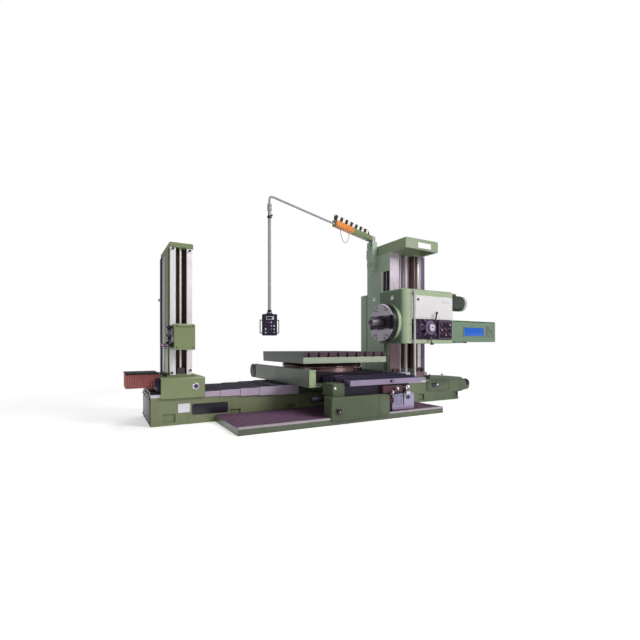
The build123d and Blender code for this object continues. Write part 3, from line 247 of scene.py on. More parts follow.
# %% An empty group
COLOUR, VALUE, VECTOR = "NodeSocketColor", "NodeSocketFloat", "NodeSocketVector"
MID_GREY = (0.5, 0.5, 0.5, 1)


def new_group(name, inputs, outputs):
    """An empty node group with named sockets. Inputs are (name, kind, default)."""
    group = bpy.data.node_groups.new(name, "ShaderNodeTree")
    for label, kind, default in inputs:
        socket = group.interface.new_socket(name=label, in_out="INPUT", socket_type=kind)
        socket.default_value = default
    for label, kind in outputs:
        group.interface.new_socket(name=label, in_out="OUTPUT", socket_type=kind)
    return group, group.nodes.new("NodeGroupInput").outputs


def close(group, results):
    """Hands the results of a group to its outputs."""
    join(group, group.nodes.new("NodeGroupOutput"), results)


# %% Worn edges: a mask that is 1 where the surface turns sharply
def make_edge_wear():
    group, given = new_group(
        "edge_wear", [("Radius", VALUE, 0.006), ("Amount", VALUE, 0.5), ("Patchiness", VALUE, 9.0)],
        [("Mask", VALUE), ("Normal", VECTOR)])
    bevel = wire(group, "Bevel", {"Radius": given["Radius"]}, samples=4).outputs[0]
    surface = wire(group, "NewGeometry").outputs["Normal"]
    likeness = vector_maths(group, "DOT_PRODUCT", {0: bevel, 1: surface})["Value"]
    sharp = remap(group, likeness, 0.995, 0.86)
    patches = noise(group, place_of(group), given["Patchiness"], 5.0, 0.65)
    chosen = remap(group, patches, 0.42, 0.62, 0.15)
    mask = maths(group, "MULTIPLY", maths(group, "MULTIPLY", sharp, chosen), given["Amount"],
                 clamp=True)
    close(group, {"Mask": mask, "Normal": bevel})
    return group


EDGE_WEAR = make_edge_wear()


# %% Uneven colour: broad clouds and fine speckle round one colour
def make_uneven_colour():
    group, given = new_group(
        "uneven_colour", [("Colour", COLOUR, MID_GREY), ("Spread", VALUE, 0.12),
                          ("Cloud Scale", VALUE, 1.6), ("Speckle Scale", VALUE, 60.0)],
        [("Colour", COLOUR), ("Cloud", VALUE), ("Speckle", VALUE)])
    place = place_of(group)
    cloud = noise(group, place, given["Cloud Scale"], 4.0, 0.6)
    speckle = noise(group, place, given["Speckle Scale"], 3.0, 0.7)
    total = maths(group, "ADD", remap(group, cloud, *NOISE_RANGE, -1.0),
                  remap(group, speckle, *NOISE_RANGE, -0.35, 0.35))
    gain = maths(group, "MULTIPLY_ADD", total, given["Spread"], 1.0)
    tone = vector_maths(group, "SCALE", {0: given["Colour"], "Scale": gain})[0]
    close(group, {"Colour": tone, "Cloud": cloud, "Speckle": speckle})
    return group


UNEVEN_COLOUR = make_uneven_colour()


# %% Grinding marks: fine lines along one direction
def make_grinding_marks():
    group, given = new_group(
        "grinding_marks", [("Stretch", VECTOR, (1.0, 1.0, 1.0)), ("Fineness", VALUE, 300.0)],
        [("Lines", VALUE)])
    stretched = vector_maths(group, "MULTIPLY", {0: place_of(group), 1: given["Stretch"]})[0]
    close(group, {"Lines": noise(group, stretched, given["Fineness"], 2.0, 0.5)})
    return group


GRINDING_MARKS = make_grinding_marks()


# %% Oil and dust: a soft dark film that gathers low down and in patches
def make_shop_film():
    group, given = new_group(
        "shop_film", [("Colour", COLOUR, MID_GREY), ("Film", COLOUR, (0.1, 0.1, 0.1, 1)),
                      ("Amount", VALUE, 0.3), ("Fade Height", VALUE, 0.6)],
        [("Colour", COLOUR)])
    place = place_of(group)
    height = maths(group, "DIVIDE", split(group, place)["Z"], given["Fade Height"])
    low = maths(group, "ADD", remap(group, height, 1.0, 0.0), 0.35)
    runs = wire(group, "Mapping", {"Vector": place, "Scale": (3.0, 3.0, 0.8)})
    spots = remap(group, noise(group, runs.outputs[0], 2.2, 6.0, 0.7), 0.45, 0.75)
    mask = maths(group, "MULTIPLY", maths(group, "MULTIPLY", low, spots), given["Amount"],
                 clamp=True)
    close(group, {"Colour": blend(group, mask, given["Colour"], given["Film"])})
    return group


SHOP_FILM = make_shop_film()
print("shader groups:", sorted(group.name for group in bpy.data.node_groups))


# %% The groups in a material
def use(tree, group, inputs):
    """Places one of the shared groups in a material and gives its outputs."""
    return wire(tree, "Group", inputs, node_tree=group).outputs


def uneven(tree, colour, spread, clouds=1.6, speckle=60.0):
    return use(tree, UNEVEN_COLOUR, {"Colour": colour, "Spread": spread, "Cloud Scale": clouds,
                                     "Speckle Scale": speckle})


def new_material(name, metallic=0.0, roughness=0.5, coat=0.0):
    """A material with a Principled shader, and its tree."""
    material = bpy.data.materials.new(name)
    material.use_nodes = True
    tree = material.node_tree
    shader = tree.nodes["Principled BSDF"]
    join(tree, shader, {"Metallic": metallic, "Roughness": roughness, "Coat Weight": coat,
                        "Coat Roughness": 0.2})
    return material, tree, shader


# %% [markdown]
# ## Machine paint
# Castings are filled, rubbed down and sprayed with a thick enamel, so the surface is smooth with a
# slight orange peel, a soft gloss and lighter edges where tools and hands rub it. One function
# makes every paint on the machine; only the colour, the gloss and the amount of film differ.

# %% Paints
def paint(name, colour, roughness=0.38, wear=0.5, film=0.3, fade=0.6, shine=0.25):
    material, tree, shader = new_material(name, 0.0, roughness, shine)
    colour = linear(colour)
    tone = uneven(tree, colour, 0.07)
    edge = use(tree, EDGE_WEAR, {"Amount": wear})
    filmed = use(tree, SHOP_FILM, {"Colour": tone["Colour"], "Film": tint(colour, 0.35),
                                   "Amount": film, "Fade Height": fade})
    join(tree, shader, {
        "Specular IOR Level": 0.2 + shine,
        "Base Color": blend(tree, edge["Mask"], filmed["Colour"], tint(colour, 1.9, 0.05)),
        "Roughness": remap(tree, tone["Cloud"], *NOISE_RANGE, roughness - 0.05, roughness + 0.1),
        "Normal": bump(tree, tone["Speckle"], 0.2, 0.0015, edge["Normal"])})
    return material


SAGE_PAINT = paint("sage_paint", (126, 138, 98))
SAGE_DARK = paint("dark_sage_paint", (84, 96, 76), film=0.4)
LIT_SAGE_PAINT = paint("lit_sage_paint", (158, 174, 136), film=0.1)
COOL_SAGE_PAINT = paint("cool_sage_paint", (158, 178, 158), fade=1.4)
DEEP_SAGE_PAINT = paint("deep_sage_paint", (78, 90, 66))
TAIL_PAINT = paint("tail_paint", (106, 128, 108), film=0.2)
TAIL_HIGHLIGHT_PAINT = paint("tail_highlight_paint", (176, 190, 176), 0.4, 0.3, 0.2)
APRON_PAINT = paint("apron_paint", (80, 92, 68), shine=0.1)
PLATFORM_PAINT = paint("platform_paint", (84, 94, 72))
COVER_SIDE_PAINT = paint("drive_cover_paint", (90, 102, 90))
CAP_PAINT = paint("cap_paint", (136, 148, 122), film=0.2)
SCALE_STRIP = paint("scale_strip", (208, 202, 206), 0.3, 0.2, 0.1)
PANEL_PAINT = paint("panel_paint", (214, 211, 212), 0.35, 0.2, 0.12)
CABINET_PAINT = paint("cabinet_paint", (158, 150, 180), 0.4, 0.3, 0.2)
VIOLET_PAINT = paint("violet_paint", (142, 118, 150), 0.4, 0.3, 0.1)
WHEEL_PAINT = paint("wheel_paint", (104, 88, 118), 0.36, 0.3, 0.1, shine=0.1)
NAVY_PAINT = paint("navy_paint", (38, 32, 58), 0.35, 0.3, 0.2, shine=0.05)
CONSOLE_PAINT = paint("console_paint", (52, 38, 62), 0.42, 0.4, 0.2, shine=0.05)
# Painted shade: the cross slide under the table is dark all over.
SHADED_SLIDE_PAINT = paint("shaded_slide_paint", (42, 30, 44), film=0.3, shine=0.02)
# Painted shade: the saddle's neck under the cover's overhang is nearly black.
SHADED_NECK_PAINT = paint("shaded_neck_paint", (30, 24, 42), 0.4, shine=0.02)
BLACK_PAINT = paint("black_paint", (22, 22, 30), 0.4, 0.2, 0.05, shine=0.05)
MOTOR_PAINT = paint("motor_paint", (68, 74, 70), 0.45, 0.35, 0.3, shine=0.1)
FAN_COVER_PAINT = paint("fan_cover_paint", (172, 180, 168), 0.4, 0.4, 0.3)
PUMP_PAINT = paint("pump_paint", (84, 52, 62), 0.5, 0.3, 0.3, shine=0.05)
# Painted shade: brown for the low part and the side of the column's recess.
BROWN_SHADE = paint("brown_shade", (116, 88, 78), 0.45, 0.3, 0.3, shine=0.1)
# Painted reflection: pale for the upper recess lining and the screw in it.
RECESS_REFLECTION = paint("recess_reflection", (216, 202, 214), 0.4, 0.3, 0.2, shine=0.1)
# Painted shade: the dark lining of recesses, grooves and gaps.
SHADED_RECESS = paint("shaded_recess", (92, 66, 60), 0.55, 0.3, 0.3, shine=0.02)
ORANGE_PAINT = paint("orange_paint", (226, 138, 60), 0.4, 0.2, 0.1)
GREY_PAINT = paint("grey_paint", (158, 156, 160), 0.4, 0.04, 0.02)
# Painted light and shade: the lit and the shaded folds of the cover pleats.
PLEAT_HIGHLIGHT = paint("pleat_highlight", (116, 104, 132), film=0.1)
PLEAT_SHADE = paint("pleat_shade", (44, 38, 62), film=0.1)
print("materials so far:", len(bpy.data.materials))

# %% [markdown]
# ## Painted light and shade along the bed and from face to face
# One casting can look like several colours, because its faces meet different light. It could be cut
# into pieces, but that would draw seams. The light and shade are painted inside the material
# instead: painted shade along X for the long bed, or painted light and shade by the way each face
# looks.

# %% A bed with painted shade towards the column
def graded(material, shaded_colour, start, stop):
    """Lets a paint's colour change along X, from its own at start to another at stop."""
    tree = material.node_tree
    tone = next(node for node in tree.nodes if getattr(node, "node_tree", None) == UNEVEN_COLOUR)
    own_colour = tuple(tone.inputs["Colour"].default_value)
    along = remap(tree, split(tree, place_of(tree))["X"], start, stop)
    tree.links.new(blend(tree, along, own_colour, linear(shaded_colour)), tone.inputs["Colour"])
    return material


# Painted shade: the bed turns darker towards the column, where the saddle and the column shade it.
SHADE_FROM, SHADE_DEEPEST_AT = 0.6, 2.2
BED_PAINT = graded(paint("bed_paint", (128, 136, 100)), (84, 98, 72), SHADE_FROM, SHADE_DEEPEST_AT)


# %% Faces with painted light and shade
def light_and_shade_by_face(name, near_colour, side_colour, top_colour, roughness=0.36, metallic=0.0):
    """One casting with painted light and shade: its near face, sides and top get colours of their
    own.
    """
    material, tree, shader = new_material(name, metallic, roughness, 0.2)
    normal = split(tree, wire(tree, "TexCoord").outputs["Normal"])
    near, side, top = (uneven(tree, linear(colour), 0.1)["Colour"]
                       for colour in (near_colour, side_colour, top_colour))
    sides = blend(tree, remap(tree, normal["Y"], -0.35, -0.7), side, near)
    whole = blend(tree, remap(tree, normal["Z"], 0.35, 0.7), sides, top)
    edge = use(tree, EDGE_WEAR, {"Radius": 0.003})
    lines = use(tree, GRINDING_MARKS, {"Fineness": 160.0})["Lines"]
    join(tree, shader, {
        "Base Color": blend(tree, edge["Mask"], whole, tint(linear(near_colour), 1.7, 0.02)),
        "Normal": bump(tree, lines, 0.06, 0.0005, edge["Normal"])})
    return material


# Painted light and shade: a lit near face, darker shaded sides and a top of its own tone.
HEAD_PAINT = light_and_shade_by_face("headstock_paint", (156, 170, 140), (98, 117, 96), (128, 150, 122))
CARRIAGE_PAINT = light_and_shade_by_face("carriage_paint", (134, 146, 104), (112, 124, 90), (150, 162, 124))
TABLE_SIDES = light_and_shade_by_face("table_sides", (172, 182, 162), (66, 82, 74), (74, 80, 78))
TABLE_LANDS = light_and_shade_by_face("table_lands", (76, 52, 64), (66, 82, 74), (96, 88, 92), 0.34, 0.3)
print("materials so far:", len(bpy.data.materials))

# %% [markdown]
# ## Steel
# Slideways are ground, which leaves fine lines along the way. Turned parts, such as the spindle
# nose and the facing head, carry finer marks. Metal shows what stands round it, so the colour stays
# close to a cool grey and the lines go into roughness and bump. The column's ways turn darker low
# down, which is painted shade and painted reflection.

# %% Steels
ALONG_X, ALONG_Y, ALONG_Z = (0.02, 1.0, 1.0), (1.0, 0.02, 1.0), (1.0, 1.0, 0.02)
NO_DIRECTION = (1.0, 1.0, 1.0)
SHADE_BOTTOM, SHADE_TOP = 1.1, 2.3


def steel(name, colour, roughness, stretch=NO_DIRECTION, metallic=0.9, low_shade=None):
    material, tree, shader = new_material(name, metallic, roughness)
    colour = linear(colour)
    lines = use(tree, GRINDING_MARKS, {"Stretch": stretch})["Lines"]
    tone = uneven(tree, colour, 0.09, 3.0)["Colour"]
    # Painted shade and reflection: the steel turns darker towards the bottom.
    if low_shade:
        low_shading = remap(tree, split(tree, place_of(tree))["Z"], SHADE_BOTTOM, SHADE_TOP, 0.9, 0.1)
        tone = blend(tree, low_shading, tone, linear(low_shade))
    edge = use(tree, EDGE_WEAR, {"Amount": 0.25, "Radius": 0.003})
    join(tree, shader, {
        "Base Color": blend(tree, edge["Mask"], tone, tint(colour, 1.3, 0.05)),
        "Roughness": remap(tree, lines, *NOISE_RANGE, roughness - 0.08, roughness + 0.14),
        "Normal": bump(tree, lines, 0.12, 0.0006, edge["Normal"])})
    return material


WAY_STEEL = steel("way_steel", (226, 214, 228), 0.3, ALONG_Z, 0.3, low_shade=(112, 76, 86))
WHITE_WAY = steel("white_way", (246, 242, 246), 0.34, ALONG_Z, 0.1)
BED_WAY_STEEL = steel("bed_way_steel", (206, 200, 214), 0.26, ALONG_X, 0.6)
NOSING_STEEL = steel("nosing_steel", (172, 162, 170), 0.36, ALONG_X, 0.2)
ROD_STEEL = steel("rod_steel", (206, 204, 206), 0.24, ALONG_Z, 0.5)
TURNED_STEEL = steel("turned_steel", (132, 122, 134), 0.3, metallic=0.8)
PLATE_STEEL = steel("plate_steel", (196, 190, 202), 0.32, metallic=0.6)
SCREW_STEEL = steel("screw_steel", (150, 146, 156), 0.35)
DARK_STEEL = steel("dark_steel", (84, 70, 76), 0.38, metallic=0.7)
SLOT_STEEL = steel("slot_steel", (64, 48, 60), 0.3, metallic=0.6)
RING_STEEL = steel("ring_steel", (150, 118, 120), 0.17)
BRIGHT_STEEL = steel("bright_steel", (232, 230, 236), 0.16)
print("materials so far:", len(bpy.data.materials))

# %% [markdown]
# ## Folded sheet covers
# The telescopic covers are one sheet folded over the ways. They are polished and mirror what they
# face, so their tops look almost black and their skirts pale violet. That reflection is painted: a
# mask from the surface's own normal gives the tops a dark painted reflection and the skirts a pale
# one, and that stays in place from every side.

# %% Cover sheet
def cover_sheet(name, top_colour, side_colour):
    material, tree, shader = new_material(name, 0.1, 0.5)
    normal = wire(tree, "NewGeometry").outputs["Normal"]
    # Painted reflection: dark on faces that look up, pale on the skirts.
    painted_reflection_mask = remap(tree, split(tree, normal)["Z"], 0.35, 0.8)
    top = uneven(tree, linear(top_colour), 0.2, 4.0)["Colour"]
    side = uneven(tree, linear(side_colour), 0.08, 5.0)["Colour"]
    lines = use(tree, GRINDING_MARKS, {"Stretch": ALONG_Y, "Fineness": 220.0})["Lines"]
    edge = use(tree, EDGE_WEAR, {"Radius": 0.002})
    join(tree, shader, {"Specular IOR Level": 0.22,
                        "Base Color": blend(tree, painted_reflection_mask, side, top),
                        "Roughness": remap(tree, lines, *NOISE_RANGE, 0.44, 0.62),
                        "Normal": bump(tree, lines, 0.1, 0.0006, edge["Normal"])})
    return material


BED_COVER_SHEET = cover_sheet("bed_cover_sheet", (30, 26, 48), (196, 178, 200))
CROSS_COVER_SHEET = cover_sheet("cross_cover_sheet", (30, 28, 48), (150, 136, 162))
DARK_COVER_SHEET = cover_sheet("dark_cover_sheet", (28, 24, 44), (62, 54, 82))
print("materials so far:", len(bpy.data.materials))

# %% [markdown]
# ## Tread plate, plastics and the striped marker
# The platform is trodden every day, so its plate carries raised bars in alternating directions.
# Two brick textures, chosen by a checker, give the bars as bump. The marker on the arm warns of
# the swing with plain slanting stripes, made from one saw-tooth of the position along the arm.

# %% Tread plate
def tread_plate():
    material, tree, shader = new_material("tread_plate", 0.0, 0.62)
    place = place_of(tree)
    bars = []
    for turn in (45, -45):
        turned = wire(tree, "Mapping", {
            "Vector": place, "Rotation": (0, 0, radians(turn)), "Scale": (1.0, 1.0, 0.0)})
        bars.append(wire(tree, "TexBrick", {
            "Vector": turned.outputs[0], "Scale": 22.0, "Mortar Size": 0.03,
            "Mortar Smooth": 0.6, "Brick Width": 1.4, "Row Height": 0.5, "Color1": WHITE,
            "Color2": BLACK, "Mortar": BLACK, "Bias": -0.2}, offset=0.5).outputs["Color"])
    check = wire(tree, "TexChecker", {"Vector": place, "Scale": 24.0}).outputs["Fac"]
    height = blend(tree, check, *bars)
    tone = uneven(tree, linear((84, 56, 80)), 0.16, 2.4)["Colour"]
    join(tree, shader, {"Specular IOR Level": 0.2,
                        "Base Color": blend(tree, height, tone, linear((110, 80, 106))),
                        "Normal": bump(tree, height, 0.6, 0.002)})
    return material


TREAD_PLATE = tread_plate()


# %% Plain plastics, rubber and cloth
def plain(name, colour, roughness, metallic=0.0, spread=0.05, bump_strength=0.15):
    material, tree, shader = new_material(name, metallic, roughness)
    tone = uneven(tree, linear(colour), spread, 6.0, 140.0)
    join(tree, shader, {"Base Color": tone["Colour"],
                        "Normal": bump(tree, tone["Speckle"], bump_strength, 0.0005)})
    return material


BLACK_PLASTIC = plain("black_plastic", (28, 26, 34), 0.25)
WHITE_PLASTIC = plain("white_plastic", (238, 236, 240), 0.35)
PINK_PLASTIC = plain("pink_plastic", (206, 150, 190), 0.3)
BLUE_SCREEN = plain("blue_screen", (28, 92, 190), 0.2)
RED_LABEL = plain("red_label", (112, 66, 86), 0.4)
DARK_GLASS = plain("dark_glass", (34, 30, 52), 0.12)
CABLE_RUBBER = plain("cable_rubber", (168, 172, 160), 0.5)
NAMEPLATE_WHITE = plain("bare_white_plate", (240, 238, 244), 0.3, 0.1)
NAMEPLATE_BLACK = plain("bare_black_plate", (28, 26, 40), 0.3, 0.1)
DIAL_FACE = plain("dial_face", (226, 214, 230), 0.35)
BELLOWS_CLOTH = plain("bellows_cloth", (168, 100, 98), 0.7, spread=0.18, bump_strength=0.5)


# %% Slanting stripes
def striped(name, dark, light, pitch, along):
    """Stripes across the direction `along`, leaning forward with height."""
    material, tree, shader = new_material(name, 0.0, 0.42)
    distance = vector_maths(tree, "DOT_PRODUCT", {0: place_of(tree), 1: along})["Value"]
    steps = maths(tree, "MULTIPLY", distance, 1 / pitch)
    mask = maths(tree, "GREATER_THAN", maths(tree, "FRACT", steps), 0.5)
    first, second = (uneven(tree, linear(colour), 0.05)["Colour"] for colour in (dark, light))
    join(tree, shader, {"Base Color": blend(tree, mask, first, second)})
    return material


ARM_HEADING = radians(23.4)
STRIPE_LEAN, STRIPE_PITCH = 0.55, 0.15
ALONG_ARM = (-cos(ARM_HEADING), -sin(ARM_HEADING), STRIPE_LEAN)
MARKER_STRIPES = striped("marker_stripes", (30, 30, 34), (236, 232, 226), STRIPE_PITCH, ALONG_ARM)
print("materials so far:", len(bpy.data.materials))

# %% [markdown]
# ## Giving the CAD nodes their finish
# A CAD node keeps its shape here and only takes a material. The table below reads like a
# painter's list: one line for each finish, with the nodes that wear it.

# %% Assign the finishes
FINISHES = {
    SAGE_PAINT: "backrest_column",
    BED_PAINT: "bed_casting",
    CARRIAGE_PAINT: "backrest_carriage steady_block",
    COOL_SAGE_PAINT: "column_casting",
    CAP_PAINT: "column_cap",
    HEAD_PAINT: "headstock_casting",
    TAIL_PAINT: "tail_housing",
    DEEP_SAGE_PAINT: "end_housing",
    APRON_PAINT: "saddle_apron",
    SAGE_DARK: "saddle_casting",
    PLATFORM_PAINT: "platform_frame",
    COVER_SIDE_PAINT: "drive_cover",
    SHADED_SLIDE_PAINT: "cross_slide",
    TABLE_SIDES: "table_body",
    TABLE_LANDS: "table_lands",
    BED_WAY_STEEL: "bed_ways",
    WAY_STEEL: "column_ways",
    WHITE_WAY: "backrest_ways",
    SCREW_STEEL: "steady_fittings",
    RECESS_REFLECTION: "column_screw",
    ROD_STEEL: "guide_rod",
    PLATE_STEEL: "facing_plate",
    SLOT_STEEL: "facing_slide",
    TURNED_STEEL: "spindle",
    BELLOWS_CLOTH: "backrest_bellows",
    TREAD_PLATE: "platform_tread",
    BED_COVER_SHEET: "bed_cover_1 bed_cover_2 bed_cover_3 bed_cover_4 bed_cover_5",
    CROSS_COVER_SHEET: "cross_cover_outer",
    DARK_COVER_SHEET: "cross_cover_middle cross_cover_inner",
    PANEL_PAINT: "headstock_panel",
    CABINET_PAINT: "control_cabinet",
    SHADED_NECK_PAINT: "saddle_neck",
    NAVY_PAINT: "pendant_box",
    PUMP_PAINT: "hydraulic_unit",
    CONSOLE_PAINT: "console",
    MOTOR_PAINT: "main_motor",
    WHEEL_PAINT: "capstan_wheel",
    MARKER_STRIPES: "arm_marker",
    GREY_PAINT: "arm_beam pendant_frame",
    CABLE_RUBBER: "arm_cable",
}
plain_nodes = set(nodes)
for finish, names in FINISHES.items():
    for node_name in names.split():
        plain_nodes.remove(node_name)
        for material_slot in nodes[node_name].material_slots:
            material_slot.material = finish
print("nodes without a finish:", sorted(plain_nodes))

# %% [markdown]
# ## The cable under the arm
# A light cable leaves the beam, hangs in one loose loop and goes back in a little further along.
# It is a free cord, 12 mm thick, about half a metre long and medium stiff. A smooth spline through
# a few control points gives the line, and a round bevel its thickness.

# %% The cable
ARM_X, ARM_Y = 1.0875, 0.075
BEAM_UNDERSIDE = 2.940
CABLE_RADIUS = 0.006
CABLE_ROUTE = [(1.030, 0.0), (1.030, 0.070), (0.985, 0.165), (0.905, 0.215), (0.835, 0.180),
               (0.775, 0.090), (0.775, 0.0)]


def on_arm(reach, side, height):
    """A point given by its distance from the arm's pivot, its offset sideways and its height."""
    return (ARM_X - reach * cos(ARM_HEADING) + side * sin(ARM_HEADING),
            ARM_Y - reach * sin(ARM_HEADING) - side * cos(ARM_HEADING), height)


def arm_cable():
    data = bpy.data.curves.new("arm_cable_line", "CURVE")
    data.dimensions = "3D"
    data.bevel_depth = CABLE_RADIUS
    data.bevel_resolution = 4
    data.resolution_u = 12
    spline = data.splines.new("NURBS")
    points = [on_arm(reach, 0, BEAM_UNDERSIDE - drop) for reach, drop in CABLE_ROUTE]
    spline.points.add(len(points) - 1)
    for control, point in zip(spline.points, points):
        control.co = (*point, 1)
    spline.order_u = 3
    spline.use_endpoint_u = True
    data.materials.append(CABLE_RUBBER)
    cable = bpy.data.objects.new("loose_cable", data)
    bpy.context.scene.collection.objects.link(cable)
    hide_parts("arm_cable")
    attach(cable, "pendant_arm")
    print("made", cable.name, "with", len(points), "control points")


arm_cable()

# %% [markdown]
# ## A bench for small metalwork
# A machine tool carries hundreds of small fittings: plates, caps, bolts, knobs and handles.
# Separate objects for each would be slow to handle, so one bmesh gathers all the forms of a
# fitting, each face remembers its finish, and the whole becomes one piece. The blocks have
# broken edges and the round forms are turned from a profile, as they'd come off a lathe.

# %% The bench
TURNING_AXES = {"X": (1, 2, 0), "Y": (2, 0, 1), "Z": (0, 1, 2)}
SUNK = 0.002  # how deep a thin plate reaches into the face it lies on
THINNEST_SHARE = 0.4  # the most that a broken edge takes of a block's thinnest side
RIM_SHARE = 0.35  # how much of a button's height is its rounded rim
SHARP_ANGLE = radians(38)  # sharper edges than this stay hard
ASIDE = Vector((0.31, 0.52, 0.79))  # a direction that no rod runs along


class Fitting:
    """Gathers milled and turned forms into one piece; every form has a finish of its own."""

    def __init__(self):
        self.mesh = bmesh.new()
        self.finishes = []

    def mark(self, faces, finish):
        if finish not in self.finishes:
            self.finishes.append(finish)
        for face in faces:
            face.material_index = self.finishes.index(finish)
            face.smooth = True

    def milled(self, finish, x, y, z, edge=0.003, turn=None):
        """A block between two values on each axis, its edges broken, turned about its middle."""
        middle = Vector([(low + high) / 2 for low, high in (x, y, z)])
        size = [high - low for low, high in (x, y, z)]
        corners = bmesh.ops.create_cube(self.mesh, size=1.0)["verts"]
        for corner in corners:
            corner.co = Vector([c * s for c, s in zip(corner.co, size)])
        edges = list({e for corner in corners for e in corner.link_edges})
        cut = bmesh.ops.bevel(self.mesh, geom=edges, offset=min(edge, min(size) * THINNEST_SHARE),
                              segments=2, profile=0.6, affect="EDGES")
        faces = {f for v in cut["verts"] for f in v.link_faces}
        faces |= {f for c in corners if c.is_valid for f in c.link_faces}
        points = {v for f in faces for v in f.verts}
        for point in points:
            point.co = (turn @ point.co if turn else point.co) + middle
        self.mark(faces, finish)

    def skinned(self, finish, rings):
        """A closed skin over rings of equally many points."""
        sides = len(rings[0])
        rings = [[self.mesh.verts.new(point) for point in ring] for ring in rings]
        faces = [self.mesh.faces.new((low[i], low[(i + 1) % sides], high[(i + 1) % sides], high[i]))
                 for low, high in zip(rings, rings[1:]) for i in range(sides)]
        faces += [self.mesh.faces.new(rings[0][::-1]), self.mesh.faces.new(rings[-1])]
        self.mark(faces, finish)

    def turned(self, finish, centre, axis, profile, sides=28):
        """A profile of (radius, distance along the axis) spun round, closed at both ends."""
        first, second, along = TURNING_AXES[axis]
        rings = []
        for radius, distance in profile:
            ring = []
            for step in range(sides):
                angle = 2 * pi * step / sides
                point = [0.0, 0.0, 0.0]
                point[first] = centre[first] + radius * cos(angle)
                point[second] = centre[second] + radius * sin(angle)
                point[along] = centre[along] + distance
                ring.append(point)
            rings.append(ring)
        self.skinned(finish, rings)

    def bent(self, finish, points, radius, sides=12):
        """A rod or pipe that runs through its points."""
        points = [Vector(p) for p in points]
        rings = []
        for i, point in enumerate(points):
            ahead = (points[min(i + 1, len(points) - 1)] - points[max(i - 1, 0)]).normalized()
            side = ahead.cross(ASIDE).normalized()
            other = ahead.cross(side)
            rings.append([point + radius * (side * cos(a) + other * sin(a))
                          for a in (2 * pi * k / sides for k in range(sides))])
        self.skinned(finish, rings)

    def button(self, finish, centre, axis, radius, height, sides=20):
        """A low turned disc with a rounded rim, standing on one side of a face."""
        rim = min(abs(height), radius) * RIM_SHARE
        rise = rim if height > 0 else -rim
        self.turned(finish, centre, axis, [(radius, -rise * 0.5), (radius, height - rise),
                    (radius - rim * 0.35, height - rise * 0.3), (radius - rim, height)], sides)

    def ball(self, finish, centre, radius, sides=18):
        """A knob turned like a ball."""
        steps = [pi * (k + 0.5) / 9 for k in range(9)]
        self.turned(finish, centre, "Z", [(radius * sin(a), -radius * cos(a)) for a in steps],
                    sides)

    def bolts(self, xs, ys, zs, radius=0.006, height=-0.004, axis="Y", sides=6):
        """Dark bolt heads, one at every combination of the given places."""
        for place in product(xs, ys, zs):
            self.button(DARK_STEEL, place, axis, radius, height, sides)

    def sheet(self, finish, x, z, face, proud=0.004, edge=0.002):
        """A thin plate on a face that looks to the operator."""
        self.milled(finish, x, (face - proud, face + SUNK), z, edge)

    def sign(self, finish, x, z, face, proud=0.004):
        """A bare sign plate with a rivet at each corner."""
        self.sheet(finish, x, z, face, proud, 0.0015)
        for px, pz in product(inset(x, 0.012), inset(z, 0.012)):
            self.button(BRIGHT_STEEL, (px, face - proud, pz), "Y", 0.0045, -0.002, 12)

    def border(self, finish, x, z, face, proud, level, upright, edge=0.002):
        """Four strips inside the edge of a rectangle, with the widths of both pairs."""
        for strip_x, strip_z in ((x, (z[1] - level, z[1])), (x, (z[0], z[0] + level)),
                                 ((x[0], x[0] + upright), z), ((x[1] - upright, x[1]), z)):
            self.sheet(finish, strip_x, strip_z, face, proud, edge)

    def piece(self, name, body, place=None):
        """Turns all that was gathered into one object that rides on a body."""
        if place is not None:
            self.mesh.transform(place)
        bmesh.ops.recalc_face_normals(self.mesh, faces=self.mesh.faces)
        mesh = bpy.data.meshes.new(name)
        self.mesh.to_mesh(mesh)
        self.mesh.free()
        mesh.set_sharp_from_angle(angle=SHARP_ANGLE)
        for finish in self.finishes:
            mesh.materials.append(finish)
        thing = bpy.data.objects.new(name, mesh)
        bpy.context.collection.objects.link(thing)
        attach(thing, body)
        print("made", name, "with", len(mesh.polygons), "faces on", body)


def span(node_name):
    """The x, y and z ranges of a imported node."""
    low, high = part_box(node_name)
    return [(low[i], high[i]) for i in range(3)]


def inset(pair, amount):
    """A range that is shorter by the same amount at both ends."""
    return pair[0] + amount, pair[1] - amount


def about(middle, half):
    """A range that reaches equally far to both sides of a middle."""
    return middle - half, middle + half


def circle(middle, radius, degrees):
    """The angle and the two coordinates of each place on a circle."""
    for angle in map(radians, degrees):
        yield angle, middle[0] + radius * cos(angle), middle[1] + radius * sin(angle)


# %% [markdown]
# ## The bed's plates and end
# The bed's front carries two bare sign plates, one white and one black, held by rivets. Its left
# end is closed by a bolted plate, painted dark navy as painted shade on that end, with a wiper for
# the ways above it. Thin milled blocks that stand a few millimetres proud catch the light on their
# rims as real plates do.

# %% Bed plates
BED_FRONT = -0.475


def bed_fittings():
    plates = Fitting()
    plates.sign(NAMEPLATE_WHITE, (-2.4125, -2.2635), (0.154, 0.269), BED_FRONT)
    plates.sign(NAMEPLATE_BLACK, (-2.2385, -1.7635), (0.113, 0.256), BED_FRONT)
    plates.piece("bed_sign_plates", "bed")
    left = span("bed_casting")[0][0]
    end = Fitting()
    # Painted shade: the end plate is dark navy because the bed's left end lies in shade.
    end.milled(NAVY_PAINT, (left - 0.008, left + 0.004), about(0, 0.468), (0.012, 0.386), 0.004)
    end.bolts([left - 0.008], (-0.43, -0.15, 0.15, 0.43), (0.05, 0.345), 0.013, -0.009, "X")
    end.milled(BLACK_PAINT, (left + 0.003, left + 0.13), about(0, 0.44), (0.395, 0.432), 0.008)
    end.piece("bed_left_end", "bed")


bed_fittings()

# %% [markdown]
# ## The back-rest
# The upright at the left end holds the far end of a long boring bar. Down its outer side run a dark
# strip of painted shade along its back edge and a pale scale strip, the slot between its ways has a
# dark lining of painted shade, and the foot and the top have small bolts. A round oil sight glass
# is let into the carriage's front.

# %% Back-rest fittings
FOOT, POST_TOP, COLUMN_TOP = 0.612, 2.296, 2.660
POST_SIDE = -2.4925


